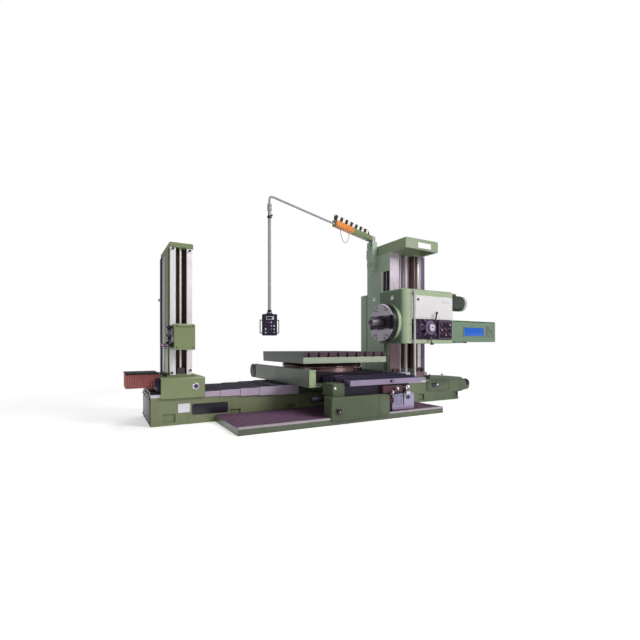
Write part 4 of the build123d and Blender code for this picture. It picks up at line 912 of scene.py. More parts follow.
def backrest_fittings():
    front = span("backrest_column")[1][0]
    side = POST_SIDE
    side_parts = Fitting()
    # Painted shade: a dark strip along the back of the upright's outer side.
    side_parts.milled(NAVY_PAINT, (side - 0.022, side + 0.004), (0.36, 0.476), (FOOT, POST_TOP), 0.006)
    side_parts.milled(SCALE_STRIP, (side - 0.006, side + 0.004), (0.14, 0.36), (0.625, 2.285), 0.002)
    side_parts.ball(SCALE_STRIP, (side - 0.035, 0.40, 1.686), 0.024)
    side_parts.turned(BRIGHT_STEEL, (side - 0.02, 0.40, 1.686), "X", [(0.01, -0.015), (0.01, 0.004)],
                 12)
    side_parts.milled(NAVY_PAINT, (-2.668, -2.622), (-0.45, -0.02), (0.436, 0.600), 0.006)
    side_parts.milled(BLACK_PAINT, (side - 0.04, side), (-0.365, 0.35), (0.609, 0.640), 0.006)
    x, y, z = span("backrest_bellows")
    side_parts.milled(BLACK_PAINT, inset(x, 0.002), inset(y, -0.004), (z[1] - 0.014, z[1] + 0.005),
                 0.004)
    side_parts.piece("backrest_side_parts", "bed")
    bolts = Fitting()
    for bx, bz in ((side + 0.020, 0.665), (-2.240, 0.692), (side + 0.034, 2.280), (-2.250, 2.272)):
        bolts.turned(BLACK_PAINT, (bx, front, bz), "Y",
                     [(0.015, 0.004), (0.015, -0.014), (0.010, -0.018)], 6)
    bolts.milled(DARK_STEEL, (-2.405, -2.305), (-0.348, -0.255), (0.640, 0.724), 0.004)
    bolts.piece("backrest_bolts", "bed")
    lining = Fitting()
    # Painted shade: the slot between the back-rest's ways is lined dark.
    lining.milled(SHADED_RECESS, (-2.423, -2.287), (-0.262, -0.252), (FOOT, POST_TOP), 0.002)
    lining.milled(SHADED_RECESS, (-2.2885, -2.2835), (-0.362, -0.256), (FOOT, POST_TOP), 0.002)
    lining.piece("backrest_lining", "bed")


def sight_glass():
    centre = (-2.196, -0.515, 0.492)
    glass = Fitting()
    for finish, profile in (
            (BRIGHT_STEEL, [(0.046, 0.006), (0.046, -0.008), (0.040, -0.014), (0.034, -0.014),
                            (0.034, -0.006)]),
            (VIOLET_PAINT, [(0.034, 0.0), (0.034, -0.008), (0.026, -0.013), (0.012, -0.015)]),
            (NAVY_PAINT, [(0.017, -0.010), (0.017, -0.015), (0.010, -0.017)])):
        glass.turned(finish, centre, "Y", profile)
    for _, x, z in circle((centre[0], centre[2]), 0.04, range(0, 360, 60)):
        glass.button(DARK_STEEL, (x, centre[1] - 0.012, z), "Y", 0.0035, -0.003, 8)
    glass.piece("carriage_sight_glass", "bed")


backrest_fittings()
sight_glass()

# %% [markdown]
# ## The steady rest
# The block that slides on the upright has its clamps and oil points on its outer side, with a
# short lever and a coloured knob. Each clamp is a stepped disc, turned from one profile that
# grows with its radius, because the photograph shows only their places and sizes.

# %% Steady fittings
CLAMP_DISCS = ((-0.47, 1.245, 0.032, BLACK_PAINT), (-0.60, 1.225, 0.044, NAVY_PAINT),
               (-0.48, 1.150, 0.040, WHEEL_PAINT), (-0.62, 1.110, 0.050, NAVY_PAINT),
               (-0.49, 1.050, 0.038, BLACK_PAINT), (-0.69, 1.020, 0.026, BLACK_PAINT))
LEVER_Y = -0.42


def steady_fittings():
    x, y, z = span("steady_block")
    face = x[0]
    clamps = Fitting()
    for cy, cz, radius, finish in CLAMP_DISCS:
        clamps.turned(finish, (face, cy, cz), "X", [
            (radius, 0.004), (radius, -0.026), (radius * 0.8, -0.034), (radius * 0.45, -0.034),
            (radius * 0.42, -0.056), (radius * 0.3, -0.06)], 24)
        clamps.turned(SCALE_STRIP, (face, cy, cz), "X",
                      [(radius * 0.30, -0.058), (radius * 0.26, -0.064)], 16)
    clamps.bent(BRIGHT_STEEL, [(face + 0.01, LEVER_Y, 1.00), (face - 0.04, LEVER_Y, 0.995),
                               (face - 0.075, LEVER_Y, 1.015)], 0.009)
    clamps.ball(PINK_PLASTIC, (face - 0.080, LEVER_Y, 1.030), 0.024)
    clamps.milled(SAGE_DARK, inset(x, 0.02), (y[0] - 0.003, y[0] + 0.004), (1.243, 1.251), 0.001)
    clamps.bolts(inset(x, 0.03), [y[0]], (z[0] + 0.03, z[1] - 0.022), 0.009, -0.006)
    clamps.piece("steady_clamps", "steady")


steady_fittings()

# %% [markdown]
# ## The saddle, its apron and the hydraulic unit
# The saddle carries everything the operator reaches for near the floor. Its drive cover ends in
# a black bumper with a flat black side pad, the apron has a bolted plate and a black hand knob,
# and the pale hydraulic cabinet has a window, a slot, and valves with ball levers on top. The
# bumper is a row of blocks set round an arc, which keeps the cover's own round end in sight.

# %% Saddle fittings
def drive_cover_bumper():
    x, y, z = span("drive_cover")
    radius = (z[1] - z[0]) / 2
    middle = (y[1] - radius, (z[0] + z[1]) / 2)
    bumper = Fitting()
    for angle, far, up in circle(middle, radius - 0.014, range(-84, 85, 14)):
        bumper.milled(BLACK_PAINT, (x[0] - 0.005, x[1] + 0.003), about(far, 0.017),
                      about(up, 0.018), 0.004, Matrix.Rotation(angle + radians(90), 3, "X"))
    bumper.milled(BLACK_PAINT, (x[0] - 0.006, x[0] + 0.003), (y[1] - 0.26, y[1] - 0.05),
                  inset(z, 0.012), 0.003)
    bumper.piece("drive_cover_bumper", "saddle")
    plate = Fitting()
    # Painted light: the drive cover's end plate is paler than its sides, as it faces the light.
    plate.milled(LIT_SAGE_PAINT, inset(x, 0.003), (y[0] - 0.005, y[0] + 0.003),
                 inset(z, 0.004), 0.002)
    plate.bolts(inset(x, 0.02), [y[0] - 0.005], inset(z, 0.03), 0.007)
    plate.piece("drive_cover_end_plate", "saddle")


def apron_fittings():
    x, y, z = span("saddle_apron")
    centre = (-0.628, -1.505, 0.175)
    knob = Fitting()
    knob.turned(DARK_STEEL, centre, "Y", [(0.042, 0.002), (0.042, -0.006), (0.036, -0.009)])
    knob.turned(BLACK_PLASTIC, centre, "Y", [(0.034, -0.006), (0.036, -0.014), (0.036, -0.030),
                                             (0.030, -0.040), (0.016, -0.044), (0.008, -0.044)])
    knob.turned(BRIGHT_STEEL, centre, "Y", [(0.006, -0.04), (0.006, -0.046), (0.003, -0.047)], 12)
    knob.piece("apron_knob", "saddle")
    corner_face = -1.425
    spot = (-0.632, corner_face, 0.463)
    glass = Fitting()
    glass.turned(BRIGHT_STEEL, spot, "Y", [(0.018, 0.003), (0.018, -0.005), (0.015, -0.008),
                                           (0.013, -0.008), (0.013, -0.003)])
    glass.turned(WHITE_PLASTIC, spot, "Y", [(0.013, 0.0), (0.013, -0.004), (0.008, -0.007)])
    glass.bolts((-0.645, -0.505), [corner_face], (0.372, 0.505))
    glass.piece("corner_sight_glass", "saddle")
    plate = Fitting()
    plate.sheet(DEEP_SAGE_PAINT, (0.030, 0.196), (z[0] + 0.03, 0.343), y[0])
    plate.bolts((0.042, 0.184), [y[0] - 0.004], (z[0] + 0.045, 0.328), 0.007)
    plate.piece("apron_plate", "saddle")


def cabinet_fittings():
    x, y, z = span("control_cabinet")
    left, front, bottom = x[0], y[0], z[0]
    parts = Fitting()
    parts.milled(DARK_GLASS, (left + 0.257, left + 0.328), (front + 0.003, front + 0.012),
                 (0.250, 0.296), 0.001)
    parts.milled(BLACK_PAINT, (left + 0.197, left + 0.213), (front + 0.008, front + 0.016),
                 (0.160, 0.319), 0.001)
    parts.sheet(VIOLET_PAINT, inset(x, 0.004), (bottom + 0.004, bottom + 0.044), front, 0.003)
    parts.bolts(inset(x, 0.012), [front], (0.118, 0.318))
    parts.piece("cabinet_front_parts", "saddle")


def hydraulic_valves():
    valves = Fitting()
    block_y = -1.44
    for x, z, tip_x, tip_z in ((0.300, 0.375, 0.312, 0.424), (0.215, 0.330, 0.222, 0.381)):
        valves.turned(DARK_STEEL, (x, block_y, z), "Y",
                      [(0.030, 0.03), (0.030, -0.03), (0.022, -0.045)], 20)
        valves.bent(BRIGHT_STEEL, [(x, block_y - 0.02, z), (x, block_y - 0.06, z + 0.01),
                                   (tip_x, block_y - 0.10, tip_z - 0.012)], 0.0065)
        valves.ball(WHITE_PLASTIC, (tip_x, block_y - 0.102, tip_z), 0.022)
    bottle = (0.552, -1.475, 0.333)
    valves.turned(BRIGHT_STEEL, bottle, "Z", [(0.030, 0.0), (0.038, 0.006), (0.038, 0.105),
                                              (0.030, 0.116), (0.012, 0.118), (0.012, 0.126)], 26)
    valves.turned(BLACK_PAINT, bottle, "Z", [(0.039, 0.052), (0.039, 0.064)], 26)
    for start, end in (((0.33, -1.43, 0.345), (0.42, -1.445, 0.40)),
                       ((0.44, -1.44, 0.35), (0.50, -1.46, 0.42))):
        top = max(start[2], end[2]) + 0.02
        valves.bent(DARK_STEEL, [start, (start[0], start[1] - 0.02, top - 0.01),
                                 ((start[0] + end[0]) / 2, start[1] - 0.03, top),
                                 (end[0], end[1] - 0.02, top - 0.015), end], 0.010)
    valves.piece("hydraulic_valves", "saddle")


drive_cover_bumper()
apron_fittings()
cabinet_fittings()
hydraulic_valves()

# %% [markdown]
# ## The covers over the cross ways
# The telescopic cover between the apron and the table folds along its left edge in narrow pleats,
# and a small latch holds its front lip. A row of thin upright strips, painted lit and shaded by
# turns, reads as pleats.
# Each of the three sections gets a row of its own, so the rows slide apart with the covers.

# %% Cover pleats
PLEAT_PITCH, PLEAT_WIDTH = 0.031, 0.022


def cover_pleats():
    for section, body in (("outer", "saddle"), ("middle", "cross_covers"),
                          ("inner", "cross_slide")):
        x, y, z = span("cross_cover_" + section)
        pleats = Fitting()
        for step in range(int((y[1] - y[0] - 0.03) / PLEAT_PITCH)):
            start = y[0] + 0.02 + step * PLEAT_PITCH
            pleats.milled(PLEAT_HIGHLIGHT if step % 2 else PLEAT_SHADE, (x[0] - 0.004, x[0] + 0.002),
                          (start, start + PLEAT_WIDTH), (z[0] + 0.006, z[1] - 0.008), 0.002)
        pleats.piece("cover_pleats_" + section, body)


def cover_latch():
    lip = span("cross_cover_outer")[1][0]
    latch = Fitting()
    latch.sheet(BLACK_PAINT, (0.262, 0.326), (0.508, 0.540), lip, 0.012, 0.004)
    latch.turned(BRIGHT_STEEL, (0.294, lip - 0.011, 0.524), "Y",
                 [(0.008, 0.0), (0.008, -0.008), (0.004, -0.011)], 12)
    latch.piece("cover_latch", "saddle")


cover_pleats()
cover_latch()

# %% [markdown]
# ## The round base under the table
# The table turns on a ground ring that shows as a bright band under it. A ring turned from a
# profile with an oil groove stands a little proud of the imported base, so the groove is real.

# %% Table ring
def table_ring():
    centre_x = -0.0215
    bottom, top, radius = 0.622, 0.750, 0.650
    middle = (bottom + top) / 2
    ring = Fitting()
    ring.turned(RING_STEEL, (centre_x, 0.0, 0.0), "Z",
                [(radius - 0.03, bottom + 0.02), (radius - 0.03, bottom), (radius + 0.030, bottom),
                 (radius + 0.019, middle - 0.012), (radius + 0.006, middle - 0.008),
                 (radius + 0.005, middle + 0.006), (radius + 0.015, middle + 0.010),
                 (radius + 0.004, top - 0.004), (radius, top), (radius - 0.03, top),
                 (radius - 0.03, top - 0.02)], 96)
    ring.piece("table_ring", "cross_slide")
    clamps = Fitting()
    for angle, x, y in circle((centre_x, 0.0), 0.672, (-48, -58, -68, 60, 90, 120)):
        clamps.milled(DARK_STEEL, about(x, 0.022), about(y, 0.022), (bottom, bottom + 0.046),
                      0.005, Matrix.Rotation(angle, 3, "Z"))
        clamps.turned(BRIGHT_STEEL, (x, y, 0.666), "Z",
                      [(0.011, 0.0), (0.011, 0.016), (0.007, 0.019)], 6)
    clamps.piece("table_clamps", "cross_slide")


table_ring()

# %% [markdown]
# ## The column
# The headstock climbs ground ways on the column's front. Between them is a recess whose lining is
# pale painted reflection above and brown painted shade low down, and strips of other colours run
# beside the ways, the black and dark ones painted shade in gaps and grooves. The cap above has a
# bare white plate, and the foot and the arm's post are bolted. The recess gets a lining of thin
# sheets, since one casting can't be two colours without a seam.

# %% Column fittings
def column_fittings():
    left, right, full = (1.3385, 1.3455), (1.7095, 1.7165), (FOOT, COLUMN_TOP)
    lining = Fitting()
    # Painted shade low down and painted reflection above, for the recess lining.
    for height, finish in (((FOOT, 1.198), BROWN_SHADE), ((1.20, COLUMN_TOP), RECESS_REFLECTION)):
        lining.milled(finish, (1.343, 1.712), (-0.180, -0.172), height, 0.002)
        lining.milled(finish, right, (-0.236, -0.176), height, 0.001)
    # Painted shade on the recess's sides: a black and a brown strip on the right, a dark one on the
    # left.
    lining.milled(BLACK_PAINT, (1.7085, 1.7165), (-0.262, -0.238), full, 0.001)
    lining.milled(BROWN_SHADE, right, (-0.362, -0.264), full, 0.001)
    lining.milled(SHADED_RECESS, left, (-0.360, -0.176), full, 0.002)
    lining.piece("column_lining", "bed")
    way_face = span("column_ways")[1][0]
    rails = Fitting()
    # The dark strip beside the right way is painted shade in a gap.
    for finish, x, proud in ((ROD_STEEL, (1.785, 1.860), 0.003),
                             (WHEEL_PAINT, (1.864, 1.955), 0.002),
                             (SHADED_RECESS, (1.716, 1.781), 0.002)):
        rails.sheet(finish, x, (0.63, 2.655), way_face, proud, 0.001)
    # Pale strips on the column's side, with a black strip of painted shade in the groove between
    # them.
    for finish, x, y, edge in ((SCALE_STRIP, (1.1385, 1.1435), (-0.178, -0.135), 0.002),
                               (BLACK_PAINT, (1.1365, 1.1435), (-0.354, -0.196), 0.002),
                               (SCALE_STRIP, (1.1350, 1.1400), (-0.283, -0.275), 0.001)):
        rails.milled(finish, x, y, (1.95, 2.345), edge)
    rails.piece("column_rails", "bed")
    plate = Fitting()
    plate.sign(NAMEPLATE_WHITE, (1.425, 1.715), (2.690, 2.778), -0.775)
    plate.piece("cap_sign_plate", "bed")


def column_bolts():
    feet = Fitting()
    y = -0.40
    for x in (1.215, 1.305, 1.775, 1.885):
        feet.milled(DARK_STEEL, about(x, 0.034), (y - 0.020, y + 0.026), (0.552, 0.600), 0.006)
        feet.turned(DARK_STEEL, (x, y - 0.002, 0.598), "Z",
                    [(0.016, 0.0), (0.016, 0.018), (0.010, 0.022)], 6)
    feet.piece("column_foot_bolts", "bed")
    post = Fitting()
    for place in product([1.0325], (0.02, 0.13), (2.52, 2.85)):
        post.turned(DARK_STEEL, place, "X", [(0.014, 0.004), (0.014, -0.010), (0.010, -0.013)], 6)
    post.piece("post_bolts", "bed")


column_fittings()
column_bolts()

# %% [markdown]
# ## The headstock
# This is the face the operator works at: a white switch panel above, and below it a dark
# console with the feed wheel, a round boss, two levers and a framed group of knobs. The wheel
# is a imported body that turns, so its light dial rides with it and everything else stays put.

# %% Headstock fittings
def headstock_fittings():
    plugs = Fitting()
    for y, z in ((-0.217, 1.842), (-0.700, 1.815)):
        plugs.turned(BRIGHT_STEEL, (0.9225, y, z), "X", [
            (0.036, 0.004), (0.036, -0.006), (0.030, -0.010), (0.020, -0.010), (0.018, -0.004)],
            24)
    plugs.bolts([1.060], [-0.975], (1.12, 1.24, 1.36, 1.50, 1.62, 1.74, 1.86), 0.008, -0.005)
    plugs.piece("headstock_plugs", "headstock")
    x, y, z = span("headstock_panel")
    face = y[0]
    panel = Fitting()
    panel.bolts((x[0] + 0.02, x[0] + 0.31, x[0] + 0.61, x[1] - 0.02), [face], inset(z, 0.02))
    panel.sign(SCALE_STRIP, (1.763, 1.954), (1.742, 1.796), face, 0.003)
    panel.turned(BLACK_PAINT, (1.219, face, 1.773), "Y",
                 [(0.020, 0.003), (0.020, -0.006), (0.016, -0.010)], 20)
    panel.milled(DARK_STEEL, (1.213, 1.225), (face - 0.026, face - 0.008), (1.758, 1.788), 0.002)
    panel.sheet(SCALE_STRIP, inset(x, 0.05), (1.486, 1.492), face, 0.002, 0.0008)
    panel.piece("headstock_panel_parts", "headstock")


def console_fittings():
    back = span("console")[1][0]
    parts = Fitting()
    for finish, profile, sides in (
            (WHEEL_PAINT, [(0.050, 0.004), (0.050, -0.014), (0.042, -0.020), (0.034, -0.020)], 32),
            (CONSOLE_PAINT, [(0.034, -0.010), (0.034, -0.038), (0.026, -0.048),
                             (0.010, -0.050)], 26)):
        parts.turned(finish, (1.293, back, 1.328), "Y", profile, sides)
    for x, z in ((1.235, 1.415), (1.235, 1.20), (1.330, 1.20), (1.340, 1.430)):
        parts.turned(DARK_STEEL, (x, back, z), "Y",
                     [(0.020, 0.0), (0.020, -0.012), (0.014, -0.026), (0.008, -0.028)], 20)
    for x, z in (((1.679, 1.985), (1.428, 1.440)), ((1.679, 1.985), (1.140, 1.152)),
                 ((1.679, 1.691), (1.140, 1.440)), ((1.973, 1.985), (1.140, 1.440))):
        parts.milled(WHEEL_PAINT, x, (back - 0.010, back + 0.003), z, 0.003)
    for (row, z), column in product(enumerate((1.375, 1.285, 1.200)), range(3)):
        x = 1.735 + 0.095 * column
        finish = (WHEEL_PAINT, PINK_PLASTIC, BLACK_PLASTIC)[(row + 2 * column) % 3]
        parts.turned(BLACK_PAINT, (x, back, z), "Y",
                     [(0.023, 0.0), (0.023, -0.006), (0.019, -0.009)], 20)
        parts.turned(finish, (x, back, z), "Y",
                     [(0.014, -0.006), (0.014, -0.022), (0.010, -0.027)], 20)
        parts.sheet(RED_LABEL, about(x, 0.030), (z + 0.026, z + 0.038), back, 0.003, 0.001)
    parts.piece("console_parts", "headstock")


def console_levers():
    back = span("console")[1][0]
    levers = Fitting()
    for x, z, profile, rod, rod_finish, rod_radius, tip, knob_finish, knob_radius in (
            (1.545, 1.400, [(0.030, 0.0), (0.030, -0.030), (0.022, -0.040)],
             [(1.545, 0.03, 1.400), (1.556, 0.045, 1.45), (1.570, 0.055, 1.545)], BLACK_PAINT,
             0.013, (1.573, 0.057, 1.562), BLACK_PLASTIC, 0.023),
            (1.463, 1.150, [(0.026, 0.0), (0.026, -0.026), (0.018, -0.034)],
             [(1.463, 0.03, 1.150), (1.463, 0.04, 1.12), (1.463, 0.05, 1.085)], WHEEL_PAINT,
             0.009, (1.463, 0.051, 1.070), WHEEL_PAINT, 0.019)):
        levers.turned(DARK_STEEL, (x, back, z), "Y", profile, 24)
        levers.bent(rod_finish, [(rx, back - out, rz) for rx, out, rz in rod], rod_radius)
        levers.ball(knob_finish, (tip[0], back - tip[1], tip[2]), knob_radius)
    levers.piece("console_levers", "headstock")


def wheel_dial():
    """A steel rim, a pale face and a ring of short marks, with a cap in the middle."""
    near = span("capstan_wheel")[1][0]
    x, z, radius = 1.4675, 1.322, 0.060
    face = near + 0.006
    dial = Fitting()
    dial.turned(BRIGHT_STEEL, (x, face, z), "Y", [
        (radius, 0.0), (radius, -0.014), (radius * 0.93, -0.018), (radius * 0.86, -0.018),
        (radius * 0.84, -0.012)], 40)
    dial.turned(DIAL_FACE, (x, face, z), "Y",
                [(radius * 0.85, 0.0), (radius * 0.85, -0.011), (radius * 0.3, -0.013)], 32)
    for angle, mark_x, mark_z in circle((x, z), radius * 0.76, range(0, 360, 30)):
        dial.milled(BLACK_PAINT, about(mark_x, radius * 0.05), (face - 0.0135, face - 0.009),
                    about(mark_z, 0.0009), 0.0003, Matrix.Rotation(-angle, 3, "Y"))
    dial.turned(BLACK_PLASTIC, (x, near - 0.004, z), "Y",
                [(0.014, 0.0), (0.014, -0.008), (0.009, -0.011)], 20)
    dial.piece("wheel_dial", "capstan")


headstock_fittings()
console_fittings()
console_levers()
wheel_dial()

# %% [markdown]
# ## The facing head and the spindle nose
# The facing head is a broad steel disc whose cross slide moves a tool outwards as it turns. It has
# a black rim behind, which is painted shade between the disc and the boss, and fixing bolts on its
# face, thin bright strips run along its slide, and the spindle's bore shows in the middle, with a
# black disc of painted shade at its bottom. All of it stands round one line, the spindle's axis.

# %% Facing head fittings
SPINDLE_Y, SPINDLE_Z = -0.605, 1.400


def facing_fittings():
    x = span("facing_plate")[0]
    depth = x[1] - x[0]
    rim = Fitting()
    # Painted shade: the black rim stands for the shade between the disc and the boss behind it.
    rim.turned(BLACK_PAINT, (x[0], SPINDLE_Y, SPINDLE_Z), "X", [
        (0.290, depth * 0.16), (0.3115, depth * 0.16), (0.3135, depth * 0.20),
        (0.3135, depth - 0.004), (0.290, depth - 0.004)], 72)
    for _, y, z in circle((SPINDLE_Y, SPINDLE_Z), 0.270,
                          (52, 68, 112, 128, 232, 248, 292, 308)):
        rim.turned(DARK_STEEL, (x[0], y, z), "X",
                   [(0.014, 0.002), (0.014, -0.006), (0.010, -0.008)], 6)
    rim.piece("facing_shade_rim", "facing_head")
    x, y, z = span("facing_slide")
    strips = Fitting()
    for low in (z[0] + 0.006, z[1] - 0.014):
        for along in ((y[0] + 0.012, SPINDLE_Y - 0.085), (SPINDLE_Y + 0.085, y[1] - 0.012)):
            strips.milled(PLATE_STEEL, (x[0] - 0.003, x[0] + 0.002), along, (low, low + 0.008),
                          0.001)
    strips.piece("slide_strips", "facing_slide")


def spindle_nose():
    left = span("spindle")[0][0]
    centre = (left, SPINDLE_Y, SPINDLE_Z)
    nose = Fitting()
    nose.turned(TURNED_STEEL, centre, "X", [
        (0.036, 0.020), (0.036, 0.002), (0.040, -0.003), (0.058, -0.003), (0.0655, 0.004),
        (0.0655, 0.020), (0.060, 0.022)], 48)
    # Painted shade: a black disc at the bottom of the spindle's bore.
    nose.turned(BLACK_PAINT, centre, "X", [(0.0345, 0.118), (0.0345, 0.112)], 32)
    for key_y in about(SPINDLE_Y, 0.050):
        nose.milled(DARK_STEEL, (left - 0.010, left + 0.004), about(key_y, 0.009),
                    about(SPINDLE_Z, 0.012), 0.002)
    nose.piece("spindle_nose", "spindle")


facing_fittings()
spindle_nose()

# %% [markdown]
# ## The motor and the tail
# The main motor behind the headstock is a ribbed casting with a lighter fan cover, whose holes are
# black buttons of painted shade, and the tail that houses the long spindle has a bare blue panel, a
# pale top strip of painted highlight and a row of air slots, drawn as dark strips of painted shade
# with lips of painted highlight. Ribs are set round the motor one by one, turned to face outwards,
# so that they break its outline a little.

# %% Motor and tail
MOTOR_Z, MOTOR_RADIUS = 1.79, 0.130
AIR_SLOTS, FIRST_SLOT, SLOT_PITCH, SLOT_HEIGHT = 9, 2.940, 0.027, (1.180, 1.385)


def motor_fittings():
    x, y, _ = span("main_motor")
    end, radius = x[1], MOTOR_RADIUS
    centre = ((y[0] + y[1]) / 2, MOTOR_Z)
    motor = Fitting()
    for angle, rib_y, rib_z in circle(centre, radius + 0.002, range(0, 360, 15)):
        motor.milled(MOTOR_PAINT, (x[0] + 0.060, end - 0.075), about(rib_y, 0.008),
                     about(rib_z, 0.0035), 0.001, Matrix.Rotation(angle, 3, "X"))
    motor.turned(FAN_COVER_PAINT, (end, *centre), "X", [
        (0.100, -0.072), (radius + 0.006, -0.070), (radius + 0.006, -0.014),
        (radius - 0.008, 0.003), (0.070, 0.004), (0.066, -0.004), (0.030, -0.004)], 40)
    # Painted shade: the fan cover's holes are black buttons.
    for ring in (0.086, 0.104):
        for _, hole_y, hole_z in circle(centre, ring, [22.5 * step for step in range(16)]):
            motor.button(BLACK_PAINT, (end + 0.0005, hole_y, hole_z), "X", 0.006, 0.004, 8)
    motor.piece("motor_ribs", "headstock")


def tail_fittings():
    x, y, z = span("tail_housing")
    face = y[0]
    tail = Fitting()
    tail.sheet(BLUE_SCREEN, (2.346, 2.870), (1.196, 1.348), face)
    tail.border(TAIL_PAINT, (2.334, 2.882), (1.186, 1.358), face, 0.008, 0.012, 0.014)
    for step in range(AIR_SLOTS):
        left = FIRST_SLOT + SLOT_PITCH * step
        # Painted shade in each air slot, with a painted highlight on its lip.
        tail.sheet(DEEP_SAGE_PAINT, (left, left + 0.012), SLOT_HEIGHT, face)
        tail.sheet(TAIL_HIGHLIGHT_PAINT, (left + 0.013, left + 0.018), SLOT_HEIGHT, face, 0.006)
    # Painted highlight: a pale strip along the tail's top.
    tail.milled(TAIL_HIGHLIGHT_PAINT, inset(x, 0.004), inset(y, 0.004), (z[1] - 0.003, z[1] + 0.004),
                0.002)
    tail.bolts((x[0] + 0.03, 2.60, x[1] - 0.02), [face], [z[1] - 0.02])
    tail.piece("tail_fittings", "headstock")
    feet = Fitting()
    for foot in ((1.617, -0.90, 1.062), (2.455, -0.88, 1.095)):
        feet.turned(BLACK_PAINT, foot, "Z",
                    [(0.034, 0.004), (0.034, -0.014), (0.026, -0.022), (0.012, -0.024)], 24)
    feet.piece("headstock_feet", "headstock")


motor_fittings()
tail_fittings()

# %% [markdown]
# ## The end housing
# The gearbox at the bed's right end has a bolted door with a dark window, and its feed motor
# shows as a black bell with a rounded end. The door's outline is four thin raised strips, which
# reads at a distance as the gap round a door.

# %% End housing fittings
def end_housing_fittings():
    face = -0.489
    door = Fitting()
    door.sheet(DEEP_SAGE_PAINT, (1.918, 2.448), (0.197, 0.378), face, 0.0025, 0.0015)
    door.border(SAGE_DARK, (1.915, 2.470), (0.200, 0.390), face, 0.004, 0.006, 0.006, 0.0015)
    door.sheet(DEEP_SAGE_PAINT, (2.010, 2.215), (0.248, 0.352), face, 0.006, 0.004)
    door.milled(DARK_GLASS, (2.022, 2.203), (face - 0.008, face - 0.002), (0.260, 0.340), 0.002)
    door.milled(DIAL_FACE, (2.150, 2.190), (face - 0.0095, face - 0.006), (0.286, 0.322), 0.001)
    door.bolts((1.935, 2.45), [face], (0.220, 0.372), 0.008, -0.005)
    door.piece("end_door", "bed")
    x, _, z = span("end_housing")
    end = x[1]
    bell = (-0.377, 0.284)
    cap = Fitting()
    cap.turned(BLACK_PAINT, (end - 0.150, *bell), "X", [
        (0.080, 0.0), (0.091, 0.004), (0.091, 0.122), (0.084, 0.140), (0.062, 0.1535),
        (0.014, 0.1545)], 36)
    for _, bolt_y, bolt_z in circle(bell, 0.045, range(0, 360, 60)):
        cap.button(DARK_STEEL, (end + 0.004, bolt_y, bolt_z), "X", 0.007, 0.004, 8)
    cap.piece("feed_motor_cap", "bed")
    eyes = Fitting()
    for bolt_x in (2.06, 2.38):
        eyes.turned(DARK_STEEL, (bolt_x, -0.40, z[1]), "Z",
                    [(0.018, -0.004), (0.018, 0.014), (0.010, 0.020)], 12)
    eyes.piece("end_housing_bolts", "bed")


end_housing_fittings()

# %% [markdown]
# ## The pendant and its arm
# The hanging control box is navy with a small display and rows of coloured buttons. Its tube has a
# dark collar, a joint with a clamp knob and a grey collar at the arm. The arm's beam is green near
# the post and orange further out, with warning stripes above. The box's parts are built level and
# then turned into place together; the arm's covers are turned one by one.

# %% Pendant
ARM_REACH = 2.67
PENDANT_TURN = radians(-18)
PENDANT_PLACE = (Matrix.Translation((*on_arm(ARM_REACH, 0, 0)[:2], 0.0)) @
                 Matrix.Rotation(PENDANT_TURN, 4, "Z"))
BUTTON_FINISHES = (BLACK_PLASTIC, PINK_PLASTIC, BLACK_PLASTIC, WHEEL_PAINT, WHITE_PLASTIC,
                   BLACK_PLASTIC, SCALE_STRIP)


def pendant_face():
    front = -0.061
    face = Fitting()
    face.sheet(SCALE_STRIP, (-0.048, 0.052), (1.352, 1.394), front)
    face.milled(DARK_GLASS, (-0.042, 0.030), (front - 0.006, front - 0.002), (1.358, 1.388), 0.001)
    for (row, z), column in product(enumerate((1.315, 1.272, 1.229, 1.186)), range(4)):
        place = (-0.054 + 0.036 * column, front, z)
        face.turned(WHEEL_PAINT, place, "Y", [(0.0125, 0.0), (0.0125, -0.004), (0.011, -0.006)],
                    18)
        face.turned(BUTTON_FINISHES[(2 * row + 3 * column) % len(BUTTON_FINISHES)], place, "Y",
                    [(0.0095, -0.004), (0.0095, -0.011), (0.007, -0.014)], 18)
    face.bolts((-0.076, 0.076), [front], (1.172, 1.403), 0.004, -0.003, sides=8)
    face.piece("pendant_buttons", "pendant", PENDANT_PLACE)
    collars = Fitting()
    collars.turned(BLACK_PAINT, (0, 0, 1.425), "Z", [
        (0.042, 0.0), (0.042, 0.010), (0.030, 0.016), (0.028, 0.050), (0.024, 0.056)], 30)
    collars.piece("pendant_collars", "pendant", PENDANT_PLACE)


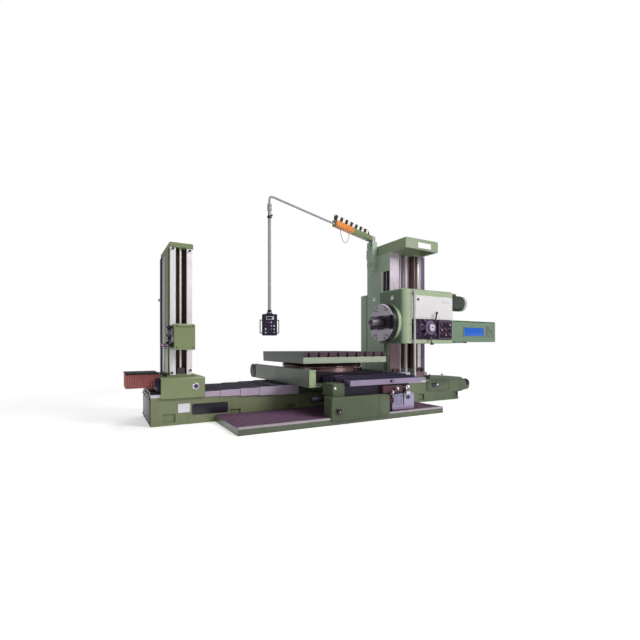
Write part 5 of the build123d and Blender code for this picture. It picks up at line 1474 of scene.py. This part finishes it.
def arm_covers():
    heading = Matrix.Rotation(ARM_HEADING, 3, "Z")
    covers = Fitting()
    for finish, start, stop in ((SAGE_PAINT, 0.075, 0.700), (ORANGE_PAINT, 0.703, 1.196)):
        half = (stop - start) / 2
        for side, half_width, height, edge in ((-0.0455, 0.003, (2.941, 3.0285), 0.0015),
                                               (0.0455, 0.003, (2.941, 3.0285), 0.0015),
                                               (0.0, 0.0445, (2.9355, 2.9415), 0.0015)):
            x, y, _ = on_arm((start + stop) / 2, side, 0)
            covers.milled(finish, about(x, half), about(y, half_width), height, edge, heading)
    x, y, _ = on_arm(1.1985, 0, 0)
    covers.milled(SAGE_PAINT, about(x, 0.004), about(y, 0.045), (2.937, 3.032), 0.002, heading)
    covers.piece("arm_covers", "pendant_arm")


def pendant_joint():
    x, y, _ = on_arm(ARM_REACH, 0, 0)
    collar = Fitting()
    collar.turned(GREY_PAINT, (x, y, 2.800), "Z",
                  [(0.026, -0.030), (0.029, -0.026), (0.029, 0.028), (0.026, 0.032)], 28)
    collar.piece("arm_collar", "pendant_arm")
    joint = Fitting()
    height = 2.690
    joint.turned(BLACK_PAINT, (x, y, height), "Z",
                 [(0.023, -0.018), (0.029, -0.014), (0.029, 0.014), (0.023, 0.018)], 28)
    joint.bent(BRIGHT_STEEL, [(x, y - 0.02, height), (x, y - 0.07, height)], 0.007)
    joint.ball(BLACK_PLASTIC, (x, y - 0.078, height), 0.014)
    joint.piece("pendant_joint", "pendant")


pendant_face()
arm_covers()
pendant_joint()

# %% [markdown]
# ## The operator's platform
# A dark tread plate lies in a frame whose front edge has a bright worn nosing. The nosing is two
# thin strips that meet at the frame's rim, with screws countersunk along it.

# %% Platform nosing
NOSING_SCREWS = 16


def platform_nosing():
    x, y, z = span("platform_frame")
    front, top = y[0], z[1]
    strip = Fitting()
    strip.milled(NOSING_STEEL, inset(x, 0.004), (front - 0.003, front + 0.034),
                 (top - 0.002, top + 0.003), 0.0015)
    strip.milled(NOSING_STEEL, inset(x, 0.004), (front - 0.004, front + 0.001),
                 (top - 0.022, top + 0.002), 0.0015)
    first, last = inset(x, 0.08)
    pitch = (last - first) / (NOSING_SCREWS - 1)
    strip.bolts([first + step * pitch for step in range(NOSING_SCREWS)], [front + 0.018],
                [top + 0.003], 0.006, 0.001, "Z", 10)
    strip.piece("platform_nosing", "bed")


platform_nosing()
